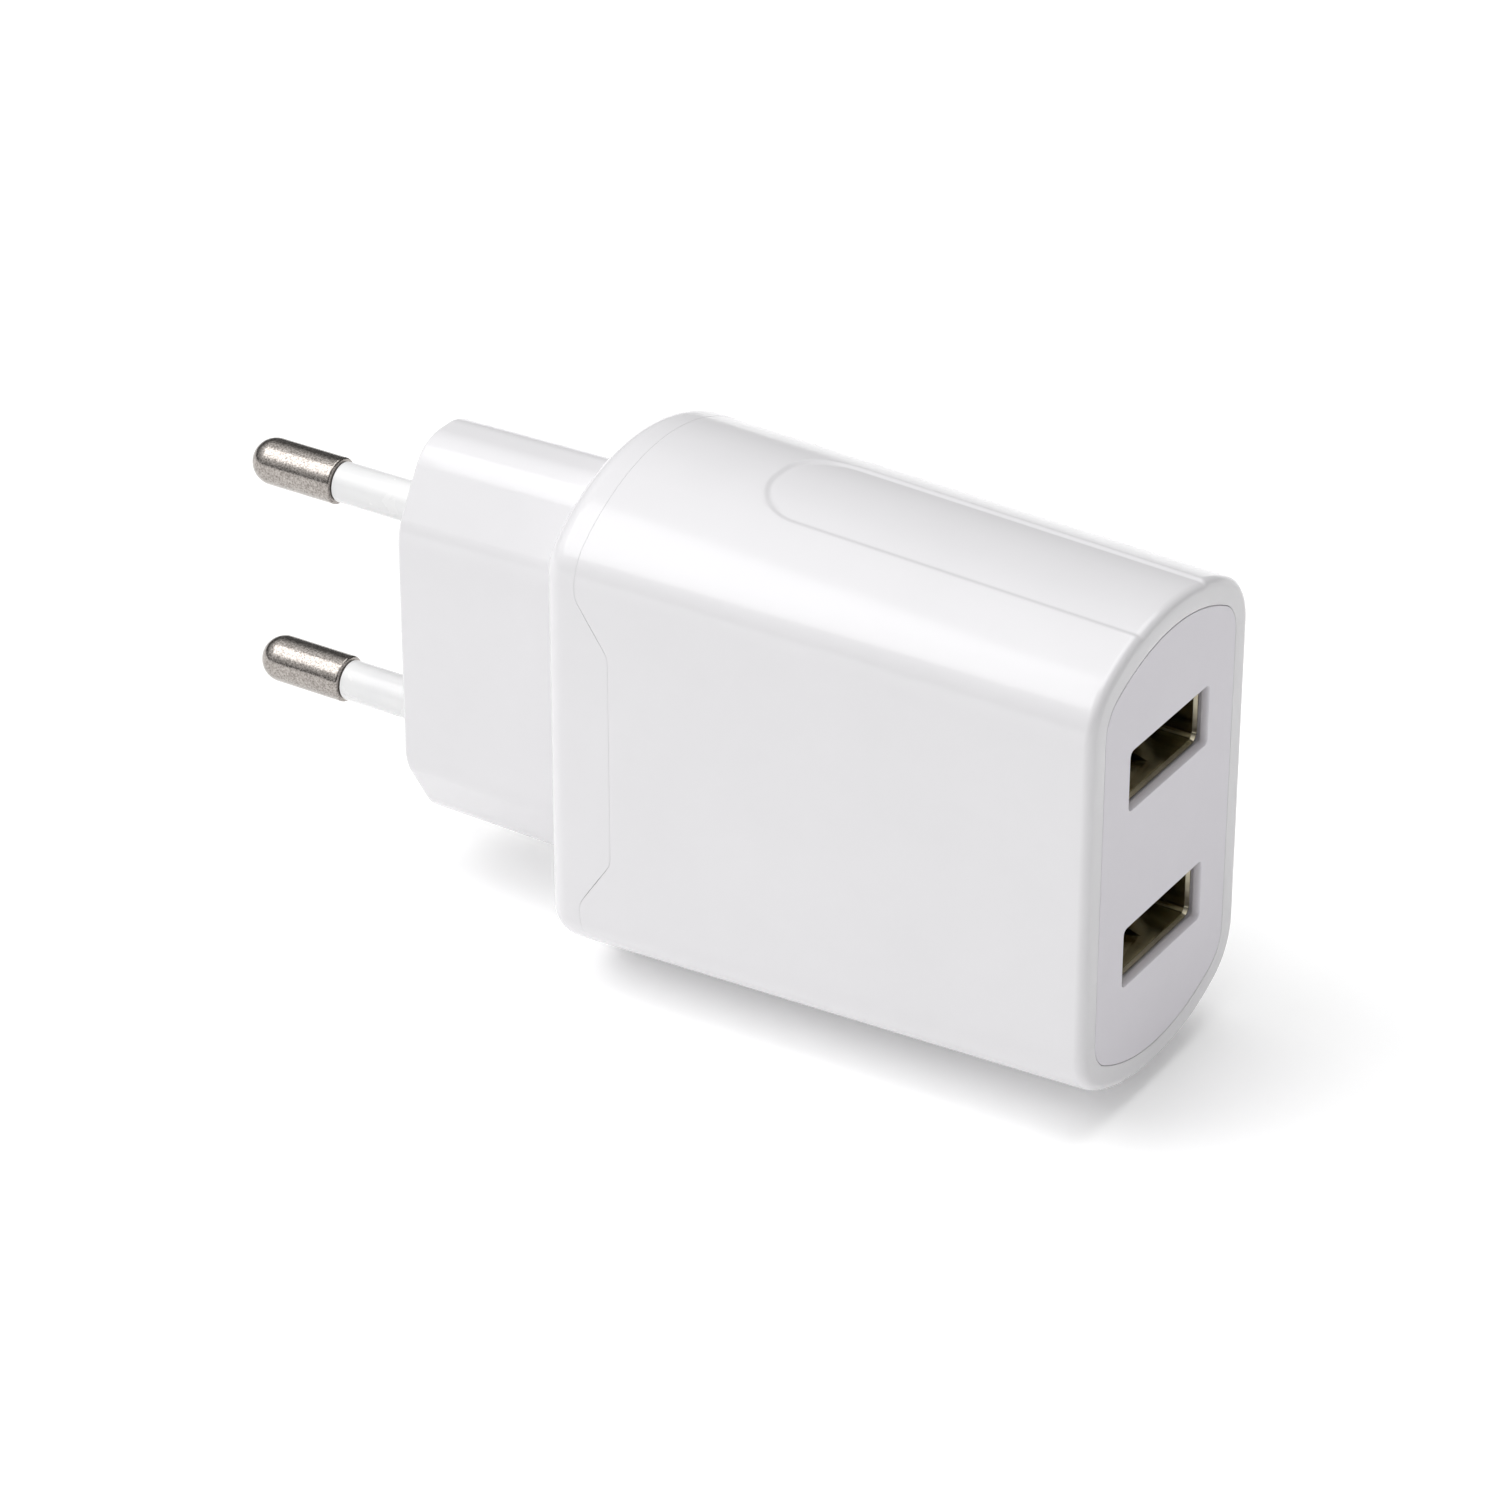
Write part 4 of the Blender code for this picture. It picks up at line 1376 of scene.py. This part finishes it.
@dataclass
class Studio:
    """A pale table, soft boxes and a long lens.

    sky_span and sky_strength: the room's light grows from the first strength to the second as the
    direction closes in on sky_towards, whose cosine goes from the first span to the second.
    """

    camera_place: Point = (0.23968, -0.333359, 0.223929)
    camera_direction: Point = (-0.46227, 0.73206, -0.50039)
    lens_mm: float = 136.8
    sensor_mm: float = 36.0
    lens_reach: Pair = (0.01, 20.0)
    table_half: float = 3.0
    table_squares: int = 8
    sky_towards: Point = (-0.32, -0.33, 0.89)
    sky_span: Pair = (0.40, 0.98)
    sky_strength: Pair = (0.16, 1.34)

    def floor(self) -> None:
        """Lay the table under the lowest point of the case."""
        low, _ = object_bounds()
        shape = bmesh.new()
        squares = self.table_squares
        bmesh.ops.create_grid(
            shape, x_segments=squares, y_segments=squares, size=self.table_half
        )
        for vertex in shape.verts:
            vertex.co.z = low.z
        mesh = bpy.data.meshes.new("studio_table")
        shape.to_mesh(mesh)
        shape.free()
        table = bpy.data.objects.new("studio_table", mesh)
        table.data.materials.append(STUDIO_WHITE.material())
        bpy.context.scene.collection.objects.link(table)
        table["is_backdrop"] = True

    def world(self) -> None:
        """Fill the room with soft light that is strongest high up, in front and to the left."""
        world = bpy.data.worlds.new("studio_air")
        world.use_nodes = True
        tree = world.node_tree
        tree.nodes.clear()
        way = add_node(tree, "TexCoord").outputs["Generated"]
        towards = Vector(self.sky_towards).normalized()
        lean = add_node(tree, "VectorMath", {0: way, 1: towards}, operation="DOT_PRODUCT")
        strength = add_node(
            tree,
            "MapRange",
            {
                "Value": lean.outputs["Value"],
                "From Min": self.sky_span[0],
                "From Max": self.sky_span[1],
                "To Min": self.sky_strength[0],
                "To Max": self.sky_strength[1],
            },
            interpolation_type="SMOOTHSTEP",
        )
        inputs = {"Color": linear(WHITE), "Strength": strength.outputs["Result"]}
        air = add_node(tree, "Background", inputs)
        add_node(tree, "OutputWorld", {"Surface": air.outputs["Background"]})
        bpy.context.scene.world = world

    def lights(self) -> list[SoftBox]:
        """The soft boxes over the table, which shine straight down."""
        left, right = (-0.38, -0.43), (0.05, 0.16)
        height = 0.60
        return [
            SoftBox("overhead_left", (*left, height), (*left, 0.0), (0.46, 0.80), 2.45),
            SoftBox("overhead_right", (*right, height), (*right, 0.0), (0.36, 0.70), 1.40),
        ]

    def camera(self) -> None:
        """Stand the camera in front, above and towards the USB end."""
        lens = bpy.data.cameras.new("studio_camera")
        lens.lens = self.lens_mm
        lens.sensor_width = self.sensor_mm
        lens.clip_start, lens.clip_end = self.lens_reach
        camera = bpy.data.objects.new("studio_camera", lens)
        camera.location = self.camera_place
        camera.rotation_mode = "QUATERNION"
        camera.rotation_quaternion = Vector(self.camera_direction).to_track_quat("-Z", "Y")
        bpy.context.scene.collection.objects.link(camera)
        bpy.context.scene.camera = camera

    def build(self) -> None:
        """Set up the studio."""
        bpy.context.scene.view_settings.view_transform = "Standard"
        self.floor()
        self.world()
        for light in self.lights():
            light.build()
        self.camera()


def main() -> None:
    """Build the charger's looks, piece by piece, and the studio round it."""
    logging.basicConfig(level=logging.INFO, format="%(message)s")
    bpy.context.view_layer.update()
    face_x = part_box("usb_face_plate")[1].x
    form = CaseForm(face_x=face_x)
    seam = SeamLine(x=SEAM_X)
    sleeve = HousingSleeve(form, seam)
    sleeve.build()
    PlugCap(form, PlugForm(depth=form.start_x), sleeve).build()
    sockets = [UsbSocket(side) for side in Side]
    FacePlate(form, sleeve, sockets).build()
    for socket in sockets:
        socket.build()
    for side in Side:
        Pin(side).build()
    CarriedNodes().dress()
    Studio().build()


if __name__ == "__main__":
    main()
